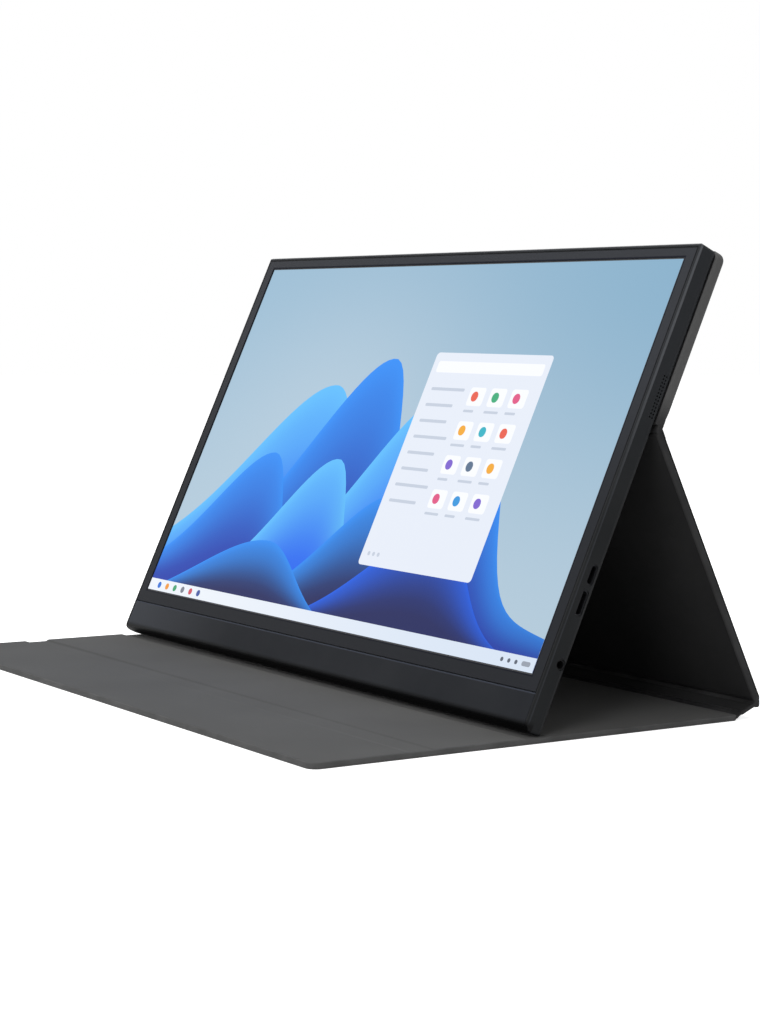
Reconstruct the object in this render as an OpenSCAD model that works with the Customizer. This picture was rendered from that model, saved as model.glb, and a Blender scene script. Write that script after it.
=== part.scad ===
// Portable monitor standing in its folding cover. The cover's lid lies flat on the table, a short spine
// strip rises behind it to the foot of the leg, and the leg folds out from the upper back panel, which
// holds the monitor by magnets. X runs along the screen, -Y faces the viewer, +Z is up, and the origin is
// the middle of the footprint on the table.

/* [Screen] */
// Width of the lit area
active_w = 344.2; // [300:0.1:380]
// Height of the lit area
active_h = 193.6; // [170:0.1:215]
// How far the screen lies behind the bezel's front face
screen_recess = 0.35; // [0.25:0.05:0.8]
// Black border left between the lit area and the bezel
black_border = 0.7; // [0:0.1:1.2]

/* [Monitor case] */
// Bezel width at each side of the lit area
side_bezel = 9; // [7.5:0.1:12]
// Bezel width above the lit area
top_bezel = 7.5; // [7:0.1:12]
// Height of everything below the lit area
chin_h = 24.4; // [22:0.1:34]
// How far below the lit area the chin panel starts
chin_seam_drop = 7.5; // [7:0.1:10]
// Thickness of the monitor
case_t = 9.7; // [9.7:0.1:13]
// Corner radius of the case, seen from the front
case_corner_r = 2; // [1.8:0.1:6]
// Rounding of the case's rear edges
back_edge_r = 2.5; // [1:0.1:2.5]
// Bevel round the case's front edge
rim_chamfer = 0.9; // [0.2:0.1:1.2]
// Rounding of the case's front lower edge, under the chin
chin_edge_r = 4.2; // [3:0.1:5]
// Width of the housing's rim that shows round the bezel
front_rim = 1.7; // [0.9:0.1:2.2]
// Side wall of the case
case_wall = 1.6; // [1.5:0.1:2.2]
// Rear wall of the case
back_wall = 1.2; // [0.8:0.1:1.4]
// Thickness of the bezel and chin mouldings
bezel_t = 1.2; // [1.1:0.05:1.4]
// Seam left between neighbouring mouldings
seam = 0.3; // [0.15:0.05:0.4]

/* [Display stack] */
// Border of the display module beyond the lit area, at the sides and the top
panel_border = 1.8; // [1:0.1:3]
// Border of the display module below the lit area
panel_foot = 6; // [4:0.1:6.5]
// Front polariser
polariser_t = 0.2; // [0.1:0.05:0.4]
// Liquid crystal cell
cell_t = 0.8; // [0.5:0.05:1]
// Diffuser and prism films
films_t = 0.3; // [0.2:0.05:0.5]
// Light guide
guide_t = 0.9; // [0.6:0.05:1]
// Reflector sheet
reflector_t = 0.2; // [0.1:0.05:0.3]
// Metal of the backlight tray
tray_t = 0.3; // [0.2:0.05:0.4]
// Number of LEDs along the bottom of the light guide
led_count = 36; // [12:1:60]

/* [Ports and controls] */
// Height of the headphone jack above the lit area's lower edge
jack_v = 7.2; // [4:0.1:16]
// Radius of the headphone jack's bore
jack_bore_r = 1.8; // [1.5:0.05:1.9]
// Depth of the headphone jack's bore
jack_bore_depth = 14; // [8:0.5:16]
// Height of the mini HDMI port's middle
hdmi_v = 35; // [30:0.1:36]
// Height of the USB-C port's middle
usb_v = 47.8; // [46:0.1:60]
// Depth of the HDMI and USB ports' middle behind the front face
port_depth = 5.6; // [5.5:0.05:5.9]
// Depth of the jack's middle behind the front face
jack_depth = 6.2; // [6.1:0.05:6.25]
// Height of the lowest speaker hole
speaker_v = 121; // [100:0.5:150]
// Number of speaker holes in a row
speaker_holes = 13; // [6:1:20]
// Spacing of the speaker holes
speaker_pitch = 1.6; // [1.4:0.1:2.4]
// Diameter of a speaker hole
speaker_hole_d = 0.9; // [0.6:0.1:1]
// Height of the power button's middle
power_v = 12; // [10:0.5:20]
// Height of the menu rocker's middle
rocker_v = 30; // [28:0.5:50]
// How far the buttons stand out of the case
button_proud = 0.5; // [0.3:0.1:0.8]
// How far the power button can be pressed
button_travel = 0.35; // [0.2:0.05:0.4]

/* [Cover] */
// How far the cover reaches past the monitor at each side
cover_margin = 0.5; // [0.3:0.05:8]
// Depth of the lid from its front edge to the fold
lid_len = 225.4; // [200:0.1:260]
// Thickness of the lid
lid_t = 2.8; // [2.4:0.1:4]
// Thickness of the leg
leg_t = 4.2; // [2.8:0.1:5]
// Thickness of the upper back panel
upper_t = 5.2; // [4.8:0.1:6]
// How far the upper panel stands above the top of the monitor
upper_overhang = 1.2; // [0:0.1:3]
// Thickness of the spine strip
spine_t = 1.8; // [1.8:0.1:2.4]
// Length of the spine strip from fold to fold
spine_len = 12; // [11:0.1:16]
// Outer leather
skin_t = 0.7; // [0.5:0.05:0.8]
// Inner lining
lining_t = 0.6; // [0.4:0.05:0.7]
// Width of the leather turned in round each panel's edge
rim_w = 1; // [0.8:0.1:2]
// Corner radius at the lid's front
lid_corner_r = 5; // [2:0.5:12]
// Corner radius at the upper panel's top
upper_corner_r = 5; // [3:0.5:12]
// Width of a groove across the lid
groove_w = 14; // [11:0.5:16]
// Depth of a groove
groove_depth = 0.9; // [0.3:0.05:1.1]
// Distance between the two grooves
groove_step = 58; // [40:1:80]
// Number of magnets in the upper panel
magnet_count = 6; // [4:2:10]

/* [Stance] */
// How far the screen leans back from upright
screen_tilt = 24.16; // [22:0.01:27]
// Height of the back fold above the lit area's lower edge
fold_v = 118; // [112:0.5:122]
// Length of the leg from the back fold to the foot fold
leg_len = 139.1; // [137:0.1:142]
// Height of the foot fold above the lid
heel_rise = 4.4; // [3:0.1:5]
// Gap between the monitor's lower edge and the lid
stand_gap = 0.3; // [0.2:0.05:0.5]

/* [Hidden] */
$fn = 48;

// Overlap that joins two shapes into one, and lets a cut run past a face
eps = 0.05;
// Gap left between pieces that turn against each other
run_gap = 0.3;

// --- Monitor outline, in the screen's own frame: x across, y backwards from the front face, z up the
// screen from the lit area's lower edge ---
case_w = active_w + 2 * side_bezel;
case_top = active_h + top_bezel;
case_bottom = -chin_h;
case_inner_back = case_t - back_wall;
moulding_inset = front_rim + seam;
bezel_w = case_w - 2 * moulding_inset;
moulding_corner_r = max(case_corner_r - moulding_inset, 0.4);
bezel_edge = 0.25;
// The chin panel ends on the rounding, with a finer seam under it
chin_low = case_bottom + chin_edge_r / 2;
low_seam = 0.1;
cover_w = case_w + 2 * cover_margin;

// --- Display module, front to back ---
panel_w = active_w + 2 * panel_border;
panel_top = active_h + panel_border;
panel_bottom = -panel_foot;
cell_front = screen_recess + polariser_t;
films_front = cell_front + cell_t;
guide_front = films_front + films_t;
reflector_front = guide_front + guide_t;
tray_floor = reflector_front + reflector_t;
panel_back = tray_floor + tray_t;
// Ledge that carries the display module
ledge_t = 0.6;
ledge_w = 3.4;
sheet_inset = tray_t + 0.1;
led_channel = 2.6;
led_board_h = 1.6;
led_w = 3;
led_h = 1;
led_gap = 0.1;
led_board_t = 0.3;
led_t = guide_t - led_board_t;
led_end = 3;
chin_room_drop = 2;

// --- Boards and ports ---
board_t = 1;
board_front = port_depth;
board_back = board_front + board_t;
board_gap = 0.6;
main_board_w = 116.2;
main_board_x = [case_w / 2 - case_wall - board_gap - main_board_w, case_w / 2 - case_wall - board_gap];
main_board_v = [-4, 62];
// Chips, each [distance from the board's left end, distance from its lower edge, width, height, thickness]
chips = [[30, 16, 10, 10, 0.9], [62, 48, 7, 7, 0.8], [12, 50, 8, 6, 0.8]];
small_chips = 6;
small_chip = [78, 10, 4, 3, 1];
small_chip_pitch = 6;
shield_place = [24, 10];
shield_size = [24, 1.3, 22];
shield_wall = 0.2;
outer_boss_inset = 14;
boss_r = 2.6;
screw_r = 0.9;
screw_head_r = 1.7;
screw_head_t = 0.7;
screw_inset = 5;
pilot_r = 0.8;
port_gap = 0.15;
usb_shell = [8.94, 3.2];
usb_mouth = [8.34, 2.6];
usb_len = 7.3;
usb_tongue = [6.7, 0.7, 4.6];
hdmi_shell = [11.2, 3.2];
hdmi_mouth = [10.5, 2.5];
hdmi_slope = 0.9;
hdmi_len = 7.5;
hdmi_tongue = [8.2, 0.6, 5];
port_floor = 0.5;
port_set_back = 0.5;
jack_body_h = 2 * (case_inner_back - jack_depth) - 0.2;
jack_body_w = 6.4;
jack_collar_r = 2.35;
jack_set_back = 0.6;
jack_wall = 1.2;
shell_x = case_w / 2 - port_set_back;
jack_mouth_x = case_w / 2 - jack_set_back;
inner_x = case_w / 2 - case_wall;

// --- Speakers ---
hole_fn = 24;
speaker_rows = [-0.7, 0.7];
speaker_row_depth = 6.1;
speaker_body = [19, 3.6, 35];
speaker_front = panel_back + ledge_t + 0.1;
speaker_mid_v = speaker_v + (speaker_holes - 1) * speaker_pitch / 2;
cone_r = 1.4;
cone_len = 24;
cone_depth = 3;

// --- Controls on the left side ---
button_depth = 6.1;
button_size = [2.4, 8];
button_fit = 0.2;
button_flange = 0.6;
button_flange_t = 0.5;
rocker_size = [2.4, 14];
rocker_pin_r = 0.5;
rocker_pin_fit = 0.2;
rocker_pin_in = 1.6;
rocker_hub_r = 1.3;
switch_size = [3.4, 1.6, 3.6];
button_board_v = [4, 42];
button_board_w = 10;
rocker_reach = 5;
rocker_swing_room = 0.5;

// --- Places in the side view: [y, z] with z measured from the lid's top face ---
function screen_point(v, depth, origin) = [
    origin[0] + v * sin(screen_tilt) + depth * cos(screen_tilt),
    origin[1] + v * cos(screen_tilt) - depth * sin(screen_tilt)
];
case_heel_r = back_edge_r;
// Height of the screen's frame that leaves the rounded rear lower edge stand_gap above the lid
screen_z = stand_gap + case_heel_r - (case_bottom + case_heel_r) * cos(screen_tilt)
    + (case_t - case_heel_r) * sin(screen_tilt);
screen_0 = [0, screen_z];
// The back fold lies in the middle of the leg's thickness, run_gap behind the monitor when folded flat
fold_depth = case_t + run_gap + leg_t / 2;
fold_b = screen_point(fold_v, fold_depth, screen_0);
heel_y = fold_b[0] + sqrt(pow(leg_len, 2) - pow(fold_b[1] - heel_rise, 2));
heel_a = [heel_y, heel_rise];
leg_lean = asin((heel_y - fold_b[0]) / leg_len);
// The lid's fold lies just under the level of the lid's top face
fold_drop = 0.1;
spine_slope = asin((heel_rise + fold_drop) / spine_len);
fold_p = [heel_y - spine_len * cos(spine_slope), -fold_drop];
lid_web_r = 0.8;
heel_web_r = 0.7;
back_web_r = 1;
web_t = 0.9;
lid_set_back = 1.4;
leg_set_back = 2.2;
back_set_back = 1.4;
spine_set_back = 2.4;
// The leg's outer leather carries on this far past the foot fold
leg_overrun = 0.3;
heel_reach = leg_t / 2 * cos(leg_lean) + leg_overrun * sin(leg_lean);
lid_rear = fold_p[0] - lid_set_back;
lid_front = lid_rear - lid_len;
// The footprint runs from the lid's front edge to the leg's lower end, and its middle is y = 0
footprint_mid = (lid_front + heel_y + heel_reach) / 2;
foot_contact = screen_point(case_bottom + case_heel_r, case_t - case_heel_r, screen_0)[0];
// The monitor's lower edge stands this far behind the front wall of its groove
groove_lead = 9;
groove_slant = 2;
groove_starts = [
    foot_contact - groove_lead - groove_step,
    foot_contact - groove_lead
];

// --- Cover panels ---
upper_bottom = fold_v + back_set_back;
upper_top = case_top + upper_overhang;
upper_taper = 8;
upper_end_r = 2;
fold_end_r = 1.2;
upper_waist = fold_depth + leg_t / 2 - case_t;
inner_w = cover_w - 2 * rim_w;
panel_corner_r = 1.5;
edge_r = 0.6;
magnet_r = 5;
magnet_t = 1.6;
magnet_fit = 0.1;
magnet_row_v = (upper_bottom + upper_top) / 2;
magnet_span = 300;
plate_size = [70, 46];
plate_t = 0.5;
plate_x = 105;

// ---------- Shared shapes ----------

// Rounded rectangle across x, from y0 to y1, with one radius at each end
module slab_outline(w, y0, y1, r0, r1) {
    mid = (y0 + y1) / 2;
    translate([-w / 2 + r0, y0]) square([w - 2 * r0, mid - y0 + eps]);
    translate([-w / 2 + r1, mid - eps]) square([w - 2 * r1, y1 - mid + eps]);
    translate([-w / 2, y0 + r0]) square([w, y1 - y0 - r0 - r1]);
    for (s = [-1, 1]) {
        translate([s * (w / 2 - r0), y0 + r0]) circle(r0);
        translate([s * (w / 2 - r1), y1 - r1]) circle(r1);
    }
}

// Stadium, long along y
module slot_outline(size) {
    r = size[1] / 2;
    square([2 * r, size[0] - 2 * r], center = true);
    for (s = [-1, 1]) translate([0, s * (size[0] / 2 - r)]) circle(r);
}

// Children drawn in x and z, made solid from depth y0 to y1
module through_depth(y0, y1) {
    translate([0, y1, 0]) rotate([90, 0, 0]) linear_extrude(y1 - y0) children();
}

// Children drawn in y and z, made solid from x0 to x1
module across(x0, x1) {
    translate([x0, 0, 0]) rotate([90, 0, 90]) linear_extrude(x1 - x0) children();
}

// Box given by its lowest and highest corners
module block(low, high) {
    translate(low) cube(high - low);
}

// ---------- Frames ----------

module in_cover() {
    translate([0, -footprint_mid, lid_t]) children();
}

module at_screen() {
    in_cover() translate([0, screen_0[0], screen_0[1]]) rotate([-screen_tilt, 0, 0]) children();
}

// y points out of the leg's outer face, z runs up the leg from the foot fold
module at_leg() {
    in_cover() translate([0, heel_a[0], heel_a[1]]) rotate([leg_lean, 0, 0]) children();
}

// y runs back along the spine from the lid's fold, z points out of its lining
module at_spine() {
    in_cover() translate([0, fold_p[0], fold_p[1]]) rotate([spine_slope, 0, 0]) children();
}

// ---------- Lid ----------

// Lid profile with softened lower edges
module lid_section() {
    translate([lid_front, -lid_t + edge_r]) square([lid_len, lid_t - edge_r]);
    translate([lid_front + edge_r, -lid_t]) square([lid_len - 2 * edge_r, lid_t]);
    for (y = [lid_front + edge_r, lid_rear - edge_r]) translate([y, -lid_t + edge_r]) circle(edge_r);
}

// Top of the lid, lowered by drop, with the two pressed grooves; it runs down to floor_z
module grooved_section(drop, floor_z) {
    y0 = lid_front + rim_w;
    y1 = lid_rear - rim_w;
    polygon([
        [y0, floor_z],
        [y0, -drop],
        for (g = groove_starts) each [
            [g, -drop],
            [g + groove_slant, -drop - groove_depth],
            [g + groove_w - groove_slant, -drop - groove_depth],
            [g + groove_w, -drop]
        ],
        [y1, -drop],
        [y1, floor_z]
    ]);
}

module lid_pocket(grow) {
    translate([0, 0, -lid_t - eps]) linear_extrude(lid_t + 2 * eps)
        slab_outline(inner_w + 2 * grow, lid_front + rim_w - grow, lid_rear - rim_w + grow,
            lid_corner_r - rim_w + grow, panel_corner_r - rim_w + grow);
}

module lid_skin() {
    color("#3a3a3c") in_cover() difference() {
        intersection() {
            across(-cover_w / 2, cover_w / 2) lid_section();
            translate([0, 0, -lid_t]) linear_extrude(lid_t)
                slab_outline(cover_w, lid_front, lid_rear, lid_corner_r, panel_corner_r);
        }
        intersection() {
            lid_pocket(0);
            block([-cover_w, lid_front, -lid_t + skin_t], [cover_w, lid_rear, eps]);
        }
        // the grooves are pressed through the turned-in edge too
        across(-cover_w, cover_w) for (g = groove_starts) polygon([
            [g, 0], [g, eps], [g + groove_w, eps], [g + groove_w, 0],
            [g + groove_w - groove_slant, -groove_depth], [g + groove_slant, -groove_depth]
        ]);
    }
}

module lid_board() {
    color("#8d8a83") in_cover() intersection() {
        across(-cover_w / 2, cover_w / 2) grooved_section(lining_t, -lid_t + skin_t);
        lid_pocket(0);
    }
}

module lid_lining() {
    color("#6b6b6c") in_cover() intersection() {
        across(-cover_w / 2, cover_w / 2) difference() {
            grooved_section(0, -lining_t - groove_depth);
            translate([0, -eps]) grooved_section(lining_t - eps, -lid_t);
        }
        lid_pocket(0);
    }
}

module lid_fold_web() {
    color("#343436") in_cover() {
        translate([-inner_w / 2, fold_p[0], fold_p[1]]) rotate([0, 90, 0]) cylinder(r = lid_web_r, h = inner_w);
        block([-inner_w / 2, lid_rear, fold_p[1] - web_t / 2], [inner_w / 2, fold_p[0], fold_p[1] + web_t / 2]);
    }
}

// ---------- Spine strip ----------

spine_y = [lid_web_r + run_gap, spine_len - spine_set_back];

module spine_skin() {
    color("#3a3a3c") at_spine() difference() {
        block([-cover_w / 2, spine_y[0], -spine_t / 2], [cover_w / 2, spine_y[1], spine_t / 2]);
        block([-inner_w / 2, spine_y[0] + rim_w, -spine_t / 2 + skin_t],
            [inner_w / 2, spine_y[1] - rim_w, spine_t / 2 + eps]);
    }
}

module spine_stiffener() {
    color("#8d8a83") at_spine()
        block([-inner_w / 2, spine_y[0] + rim_w, -spine_t / 2 + skin_t],
            [inner_w / 2, spine_y[1] - rim_w, spine_t / 2 - lining_t]);
}

module spine_lining() {
    color("#5a5a5b") at_spine()
        block([-inner_w / 2, spine_y[0] + rim_w, spine_t / 2 - lining_t],
            [inner_w / 2, spine_y[1] - rim_w, spine_t / 2]);
}

module foot_fold_web() {
    color("#343436") at_spine() {
        translate([-inner_w / 2, spine_len, 0]) rotate([0, 90, 0]) cylinder(r = heel_web_r, h = inner_w);
        block([-inner_w / 2, spine_y[1], -web_t / 2], [inner_w / 2, spine_len, web_t / 2]);
    }
}

// ---------- Leg ----------

leg_z = [leg_set_back, leg_len - back_set_back];
// The board and lining stay inside the rounding at the back fold
leg_inner_z = [leg_z[0] + rim_w, leg_z[1] - max(rim_w, fold_end_r)];

// Leg from the side: softened at the foot, rounded at the back fold, with the outer leather past the foot
module leg_section() {
    mid = (leg_z[0] + leg_z[1]) / 2;
    for (end = [[leg_z[0], 1, edge_r], [leg_z[1], -1, fold_end_r]]) {
        z0 = end[0];
        r = end[2];
        centre_z = z0 + end[1] * r;
        translate([-leg_t / 2, min(centre_z, mid)]) square([leg_t, abs(mid - centre_z)]);
        translate([-leg_t / 2 + r, min(z0, mid)]) square([leg_t - 2 * r, abs(mid - z0)]);
        for (y = [-1, 1]) translate([y * (leg_t / 2 - r), centre_z]) circle(r);
    }
    translate([leg_t / 2 - skin_t, -leg_overrun]) square([skin_t, mid + leg_overrun]);
}

module leg_skin() {
    color("#3a3a3c") at_leg() {
        difference() {
            across(-cover_w / 2, cover_w / 2) leg_section();
            block([-inner_w / 2, -leg_t / 2 - eps, leg_inner_z[0]],
                [inner_w / 2, leg_t / 2 - skin_t, leg_inner_z[1]]);
        }
        block([-inner_w / 2, -web_t / 2, heel_web_r + run_gap], [inner_w / 2, web_t / 2, leg_z[0] + eps]);
    }
}

module leg_board() {
    color("#8d8a83") at_leg()
        block([-inner_w / 2, -leg_t / 2 + lining_t, leg_inner_z[0]],
            [inner_w / 2, leg_t / 2 - skin_t, leg_inner_z[1]]);
}

module leg_lining() {
    color("#2f2f30") at_leg()
        block([-inner_w / 2, -leg_t / 2, leg_inner_z[0]],
            [inner_w / 2, -leg_t / 2 + lining_t, leg_inner_z[1]]);
}

module back_fold_web() {
    color("#343436") at_leg() {
        translate([-inner_w / 2, 0, leg_len]) rotate([0, 90, 0]) cylinder(r = back_web_r, h = inner_w);
        block([-inner_w / 2, -web_t / 2, leg_z[1]], [inner_w / 2, web_t / 2, leg_len]);
    }
}

// ---------- Upper back panel, in the screen's frame ----------

// Side view from the monitor's back face outwards: full thickness at the top, thinner at the fold
module upper_section() {
    y1 = case_t + upper_t;
    translate([case_t + upper_end_r, upper_top - 2 * upper_end_r])
        square([upper_t - 2 * upper_end_r, 2 * upper_end_r]);
    for (y = [case_t + upper_end_r, y1 - upper_end_r])
        translate([y, upper_top - upper_end_r]) circle(upper_end_r);
    polygon([
        [case_t, upper_bottom],
        [case_t + upper_waist - fold_end_r, upper_bottom],
        [case_t + upper_waist, upper_bottom + fold_end_r],
        [y1, upper_bottom + upper_taper],
        [y1, upper_top - upper_end_r],
        [case_t, upper_top - upper_end_r]
    ]);
}

module upper_outline(inset) {
    slab_outline(cover_w - 2 * inset, upper_bottom + inset, upper_top - inset,
        max(panel_corner_r - inset, eps), upper_corner_r - inset);
}

module upper_skin() {
    color("#4a4a4b") at_screen() {
        difference() {
            intersection() {
                across(-cover_w / 2, cover_w / 2) upper_section();
                through_depth(case_t, case_t + upper_t) upper_outline(0);
            }
            through_depth(case_t - eps, case_t + upper_waist - skin_t) upper_outline(rim_w);
        }
        block([-inner_w / 2, fold_depth - web_t / 2, fold_v + back_web_r + run_gap],
            [inner_w / 2, fold_depth + web_t / 2, upper_bottom + eps]);
    }
}

module magnet_places() {
    for (i = [0 : magnet_count - 1])
        translate([(i / (magnet_count - 1) - 0.5) * magnet_span, 0, magnet_row_v]) children();
}

module upper_board() {
    color("#8d8a83") at_screen() difference() {
        through_depth(case_t + lining_t, case_t + upper_waist - skin_t) upper_outline(rim_w);
        magnet_places() rotate([-90, 0, 0])
            translate([0, 0, case_t + lining_t - eps])
                cylinder(r = magnet_r + magnet_fit, h = magnet_t + magnet_fit + eps);
    }
}

module upper_lining() {
    color("#2f2f30") at_screen() through_depth(case_t, case_t + lining_t) upper_outline(rim_w);
}

module cover_magnets() {
    color("silver") at_screen() magnet_places() rotate([-90, 0, 0])
        translate([0, 0, case_t + lining_t]) cylinder(r = magnet_r, h = magnet_t);
}

// ---------- Monitor case ----------

// Case seen from the end: bevelled at the front, rounded at the back, and rounded by low_r at the low end
// of the front. Drawn from a0 to a1 along the first axis, depth along the second
module case_end(a0, a1, low_r) {
    r = back_edge_r;
    c = rim_chamfer;
    low = max(low_r, c);
    polygon([
        [a0 + low, 0], [a1 - c, 0], [a1, c], [a1, case_t - r], [a0, case_t - r], [a0, low]
    ]);
    if (low_r > 0) translate([a0 + low_r, low_r]) circle(low_r);
    translate([a0 + r, case_t - r - eps]) square([a1 - a0 - 2 * r, r + eps]);
    for (a = [a0 + r, a1 - r]) translate([a, case_t - r]) circle(r);
}

module case_solid() {
    intersection() {
        through_depth(0, case_t) slab_outline(case_w, case_bottom, case_top, case_corner_r, case_corner_r);
        translate([0, 0, case_bottom - eps]) linear_extrude(case_top - case_bottom + 2 * eps)
            case_end(-case_w / 2, case_w / 2, 0);
        across(-case_w, case_w) mirror([1, -1, 0]) case_end(case_bottom, case_top, chin_edge_r);
    }
}

// Opening of the case at a given inset from its outline
module case_hollow(inset, y0, y1) {
    r = max(case_corner_r - inset, 0.4);
    through_depth(y0, y1) slab_outline(case_w - 2 * inset, case_bottom + inset, case_top - inset, r, r);
}

module side_port_cut(v, depth, size) {
    translate([0, depth, v]) across(inner_x - 1, case_w / 2 + 1)
        slot_outline([size[0] + 2 * port_gap, size[1] + 2 * port_gap]);
}

module speaker_cut(side) {
    for (row = speaker_rows, i = [0 : speaker_holes - 1])
        translate([side * (inner_x - 1), speaker_row_depth + row, speaker_v + i * speaker_pitch])
            rotate([0, side * 90, 0]) cylinder(d = speaker_hole_d, h = case_wall + 2, $fn = hole_fn);
}

module board_boss_places() {
    for (x = [main_board_x[0] + screw_inset, main_board_x[1] - outer_boss_inset],
        v = [main_board_v[0] + screw_inset, main_board_v[1] - screw_inset])
        translate([x, 0, v]) children();
}

module button_cut(size, v) {
    block([-case_w / 2 - 1, button_depth - size[0] / 2 - button_fit, v - size[1] / 2 - button_fit],
        [-inner_x + 1, button_depth + size[0] / 2 + button_fit, v + size[1] / 2 + button_fit]);
}

module rear_housing() {
    panel_gap = 0.15;
    color("#2b2c2f") at_screen() difference() {
        union() {
            difference() {
                case_solid();
                // pocket for the bezel and chin mouldings
                through_depth(-1, bezel_t) slab_outline(case_w - 2 * front_rim, chin_low - low_seam,
                    case_top - front_rim, moulding_corner_r + seam, moulding_corner_r + seam);
                // pocket for the display module
                block([-panel_w / 2 - panel_gap, bezel_t - eps, panel_bottom - panel_gap],
                    [panel_w / 2 + panel_gap, panel_back, panel_top + panel_gap]);
                block([-panel_w / 2 + ledge_w, panel_back - eps, panel_bottom + ledge_w],
                    [panel_w / 2 - ledge_w, panel_back + ledge_t + eps, panel_top - ledge_w]);
                // room for the boards and speakers
                case_hollow(case_wall, panel_back + ledge_t, case_inner_back);
                // slots that the display's flexes pass through
                for (x = flex_x)
                    block([x - flex_w / 2 - 1, bezel_t - eps, panel_bottom - chin_room_drop - 1],
                        [x + flex_w / 2 + 1, panel_back + ledge_t, panel_bottom + eps]);
                // room behind the chin
                block([-panel_w / 2 + ledge_w, bezel_t - eps, case_bottom + 2 * case_wall],
                    [panel_w / 2 - ledge_w, panel_back + ledge_t + eps, panel_bottom - chin_room_drop]);
            }
            board_boss_places() rotate([-90, 0, 0])
                translate([0, 0, board_back]) cylinder(r = boss_r, h = case_inner_back - board_back + eps);
            rocker_lugs();
            button_board_rails();
        }
        board_boss_places() rotate([-90, 0, 0])
            translate([0, 0, board_back - eps]) cylinder(r = pilot_r, h = case_inner_back - board_back);
        side_port_cut(usb_v, port_depth, usb_shell);
        translate([0, port_depth, hdmi_v]) across(inner_x - 1, case_w / 2 + 1)
            hdmi_outline([hdmi_shell[0] + 2 * port_gap, hdmi_shell[1] + 2 * port_gap]);
        translate([inner_x - 1, jack_depth, jack_v]) rotate([0, 90, 0])
            cylinder(r = jack_collar_r + port_gap, h = case_wall + 2);
        for (side = [-1, 1]) speaker_cut(side);
        button_cut(button_size, power_v);
        button_cut(rocker_size, rocker_v);
    }
}

// Lugs that hold the rocker's pin, above and below the rocker in depth
module rocker_lugs() {
    for (s = [-1, 1]) difference() {
        translate([-inner_x - eps, button_depth + s * (rocker_size[0] / 2 + button_fit + 0.5), rocker_v])
            block([0, -0.5, -1.6], [rocker_pin_in + 1.2 + eps, 0.5, 1.6]);
        translate([-inner_x + rocker_pin_in, button_depth, rocker_v]) rotate([90, 0, 0])
            cylinder(r = rocker_pin_r, h = 12, center = true);
    }
}

// Two rails that carry the button board
module button_board_rails() {
    for (v = [button_board_v[0] + 1, button_board_v[1] - 2])
        block([-inner_x - eps, board_back, v], [-inner_x + button_board_w + 1, case_inner_back + eps, v + 1]);
}

// Block with its front edges at the sides bevelled by bezel_edge, from depth 0 to bezel_t
module moulding_block(v0, v1) {
    translate([0, 0, v0]) linear_extrude(v1 - v0) polygon([
        [-bezel_w / 2 + bezel_edge, 0], [bezel_w / 2 - bezel_edge, 0], [bezel_w / 2, bezel_edge],
        [bezel_w / 2, bezel_t], [-bezel_w / 2, bezel_t], [-bezel_w / 2, bezel_edge]
    ]);
}

module front_bezel() {
    low = -chin_seam_drop + seam / 2;
    b = black_border;
    color("#3b4046") at_screen() difference() {
        intersection() {
            through_depth(0, bezel_t) slab_outline(bezel_w, low, case_top - moulding_inset, seam, moulding_corner_r);
            moulding_block(low, case_top);
        }
        block([-active_w / 2 - b, -1, -b], [active_w / 2 + b, bezel_t + 1, active_h + b]);
        block([-panel_w / 2 - seam, screen_recess, panel_bottom - seam],
            [panel_w / 2 + seam, bezel_t + 1, panel_top + seam]);
    }
}

module chin_panel() {
    top = -chin_seam_drop - seam / 2;
    edge = 0.4;
    color("#383c42") at_screen() intersection() {
        through_depth(0, bezel_t) slab_outline(bezel_w, chin_low, top, moulding_corner_r, seam);
        moulding_block(case_bottom, top);
        across(-case_w, case_w) polygon([
            [0, case_bottom], [0, top - edge], [edge, top], [bezel_t, top], [bezel_t, case_bottom]
        ]);
        case_solid();
    }
}

// ---------- Display module ----------

module sheet(y0, t, inset) {
    block([-panel_w / 2 + inset, y0, panel_bottom + inset], [panel_w / 2 - inset, y0 + t, panel_top - inset]);
}

module screen_film() {
    color("#cfe3f2") at_screen() sheet(screen_recess, polariser_t, 0);
}

module lcd_cell() {
    color("#9fb4c0") at_screen() sheet(cell_front, cell_t, 0);
}

module optical_films() {
    color("#f2f4f4") at_screen() sheet(films_front, films_t, sheet_inset);
}

module light_guide() {
    color("#dff0ee") at_screen()
        block([-panel_w / 2 + sheet_inset, guide_front, panel_bottom + led_channel],
            [panel_w / 2 - sheet_inset, reflector_front, panel_top - sheet_inset]);
}

module reflector_sheet() {
    color("white") at_screen() sheet(reflector_front, reflector_t, sheet_inset);
}

module led_strip() {
    base = panel_bottom + sheet_inset;
    pitch = (panel_w - 4 * led_end) / led_count;
    color("#e8e2c8") at_screen() {
        block([-panel_w / 2 + led_end, guide_front + led_t, base],
            [panel_w / 2 - led_end, reflector_front, base + led_board_h]);
        for (i = [0 : led_count - 1])
            translate([(i - (led_count - 1) / 2) * pitch, guide_front, base + led_board_h - led_h])
                translate([-led_w / 2, led_gap, 0]) cube([led_w, led_t - led_gap + eps, led_h]);
    }
}

module backlight_tray() {
    color("#b9bcc0") at_screen() difference() {
        block([-panel_w / 2, films_front, panel_bottom], [panel_w / 2, panel_back, panel_top]);
        block([-panel_w / 2 + tray_t, films_front - eps, panel_bottom + tray_t],
            [panel_w / 2 - tray_t, tray_floor, panel_top - tray_t]);
    }
}

// ---------- Electronics ----------

driver_w = 180;
driver_v = [case_bottom + 2 * case_wall + 1.5, panel_bottom - 4];
driver_front = bezel_t + 0.6;
flex_x = [-60, -20, 20, 60];
flex_w = 24;
flex_t = 0.15;
flex_lap = 3;
ribbon_t = 0.3;
ribbon_lap = 4;
main_ribbon_x = [72, 88];
button_ribbon_v = [17, 22];

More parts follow.
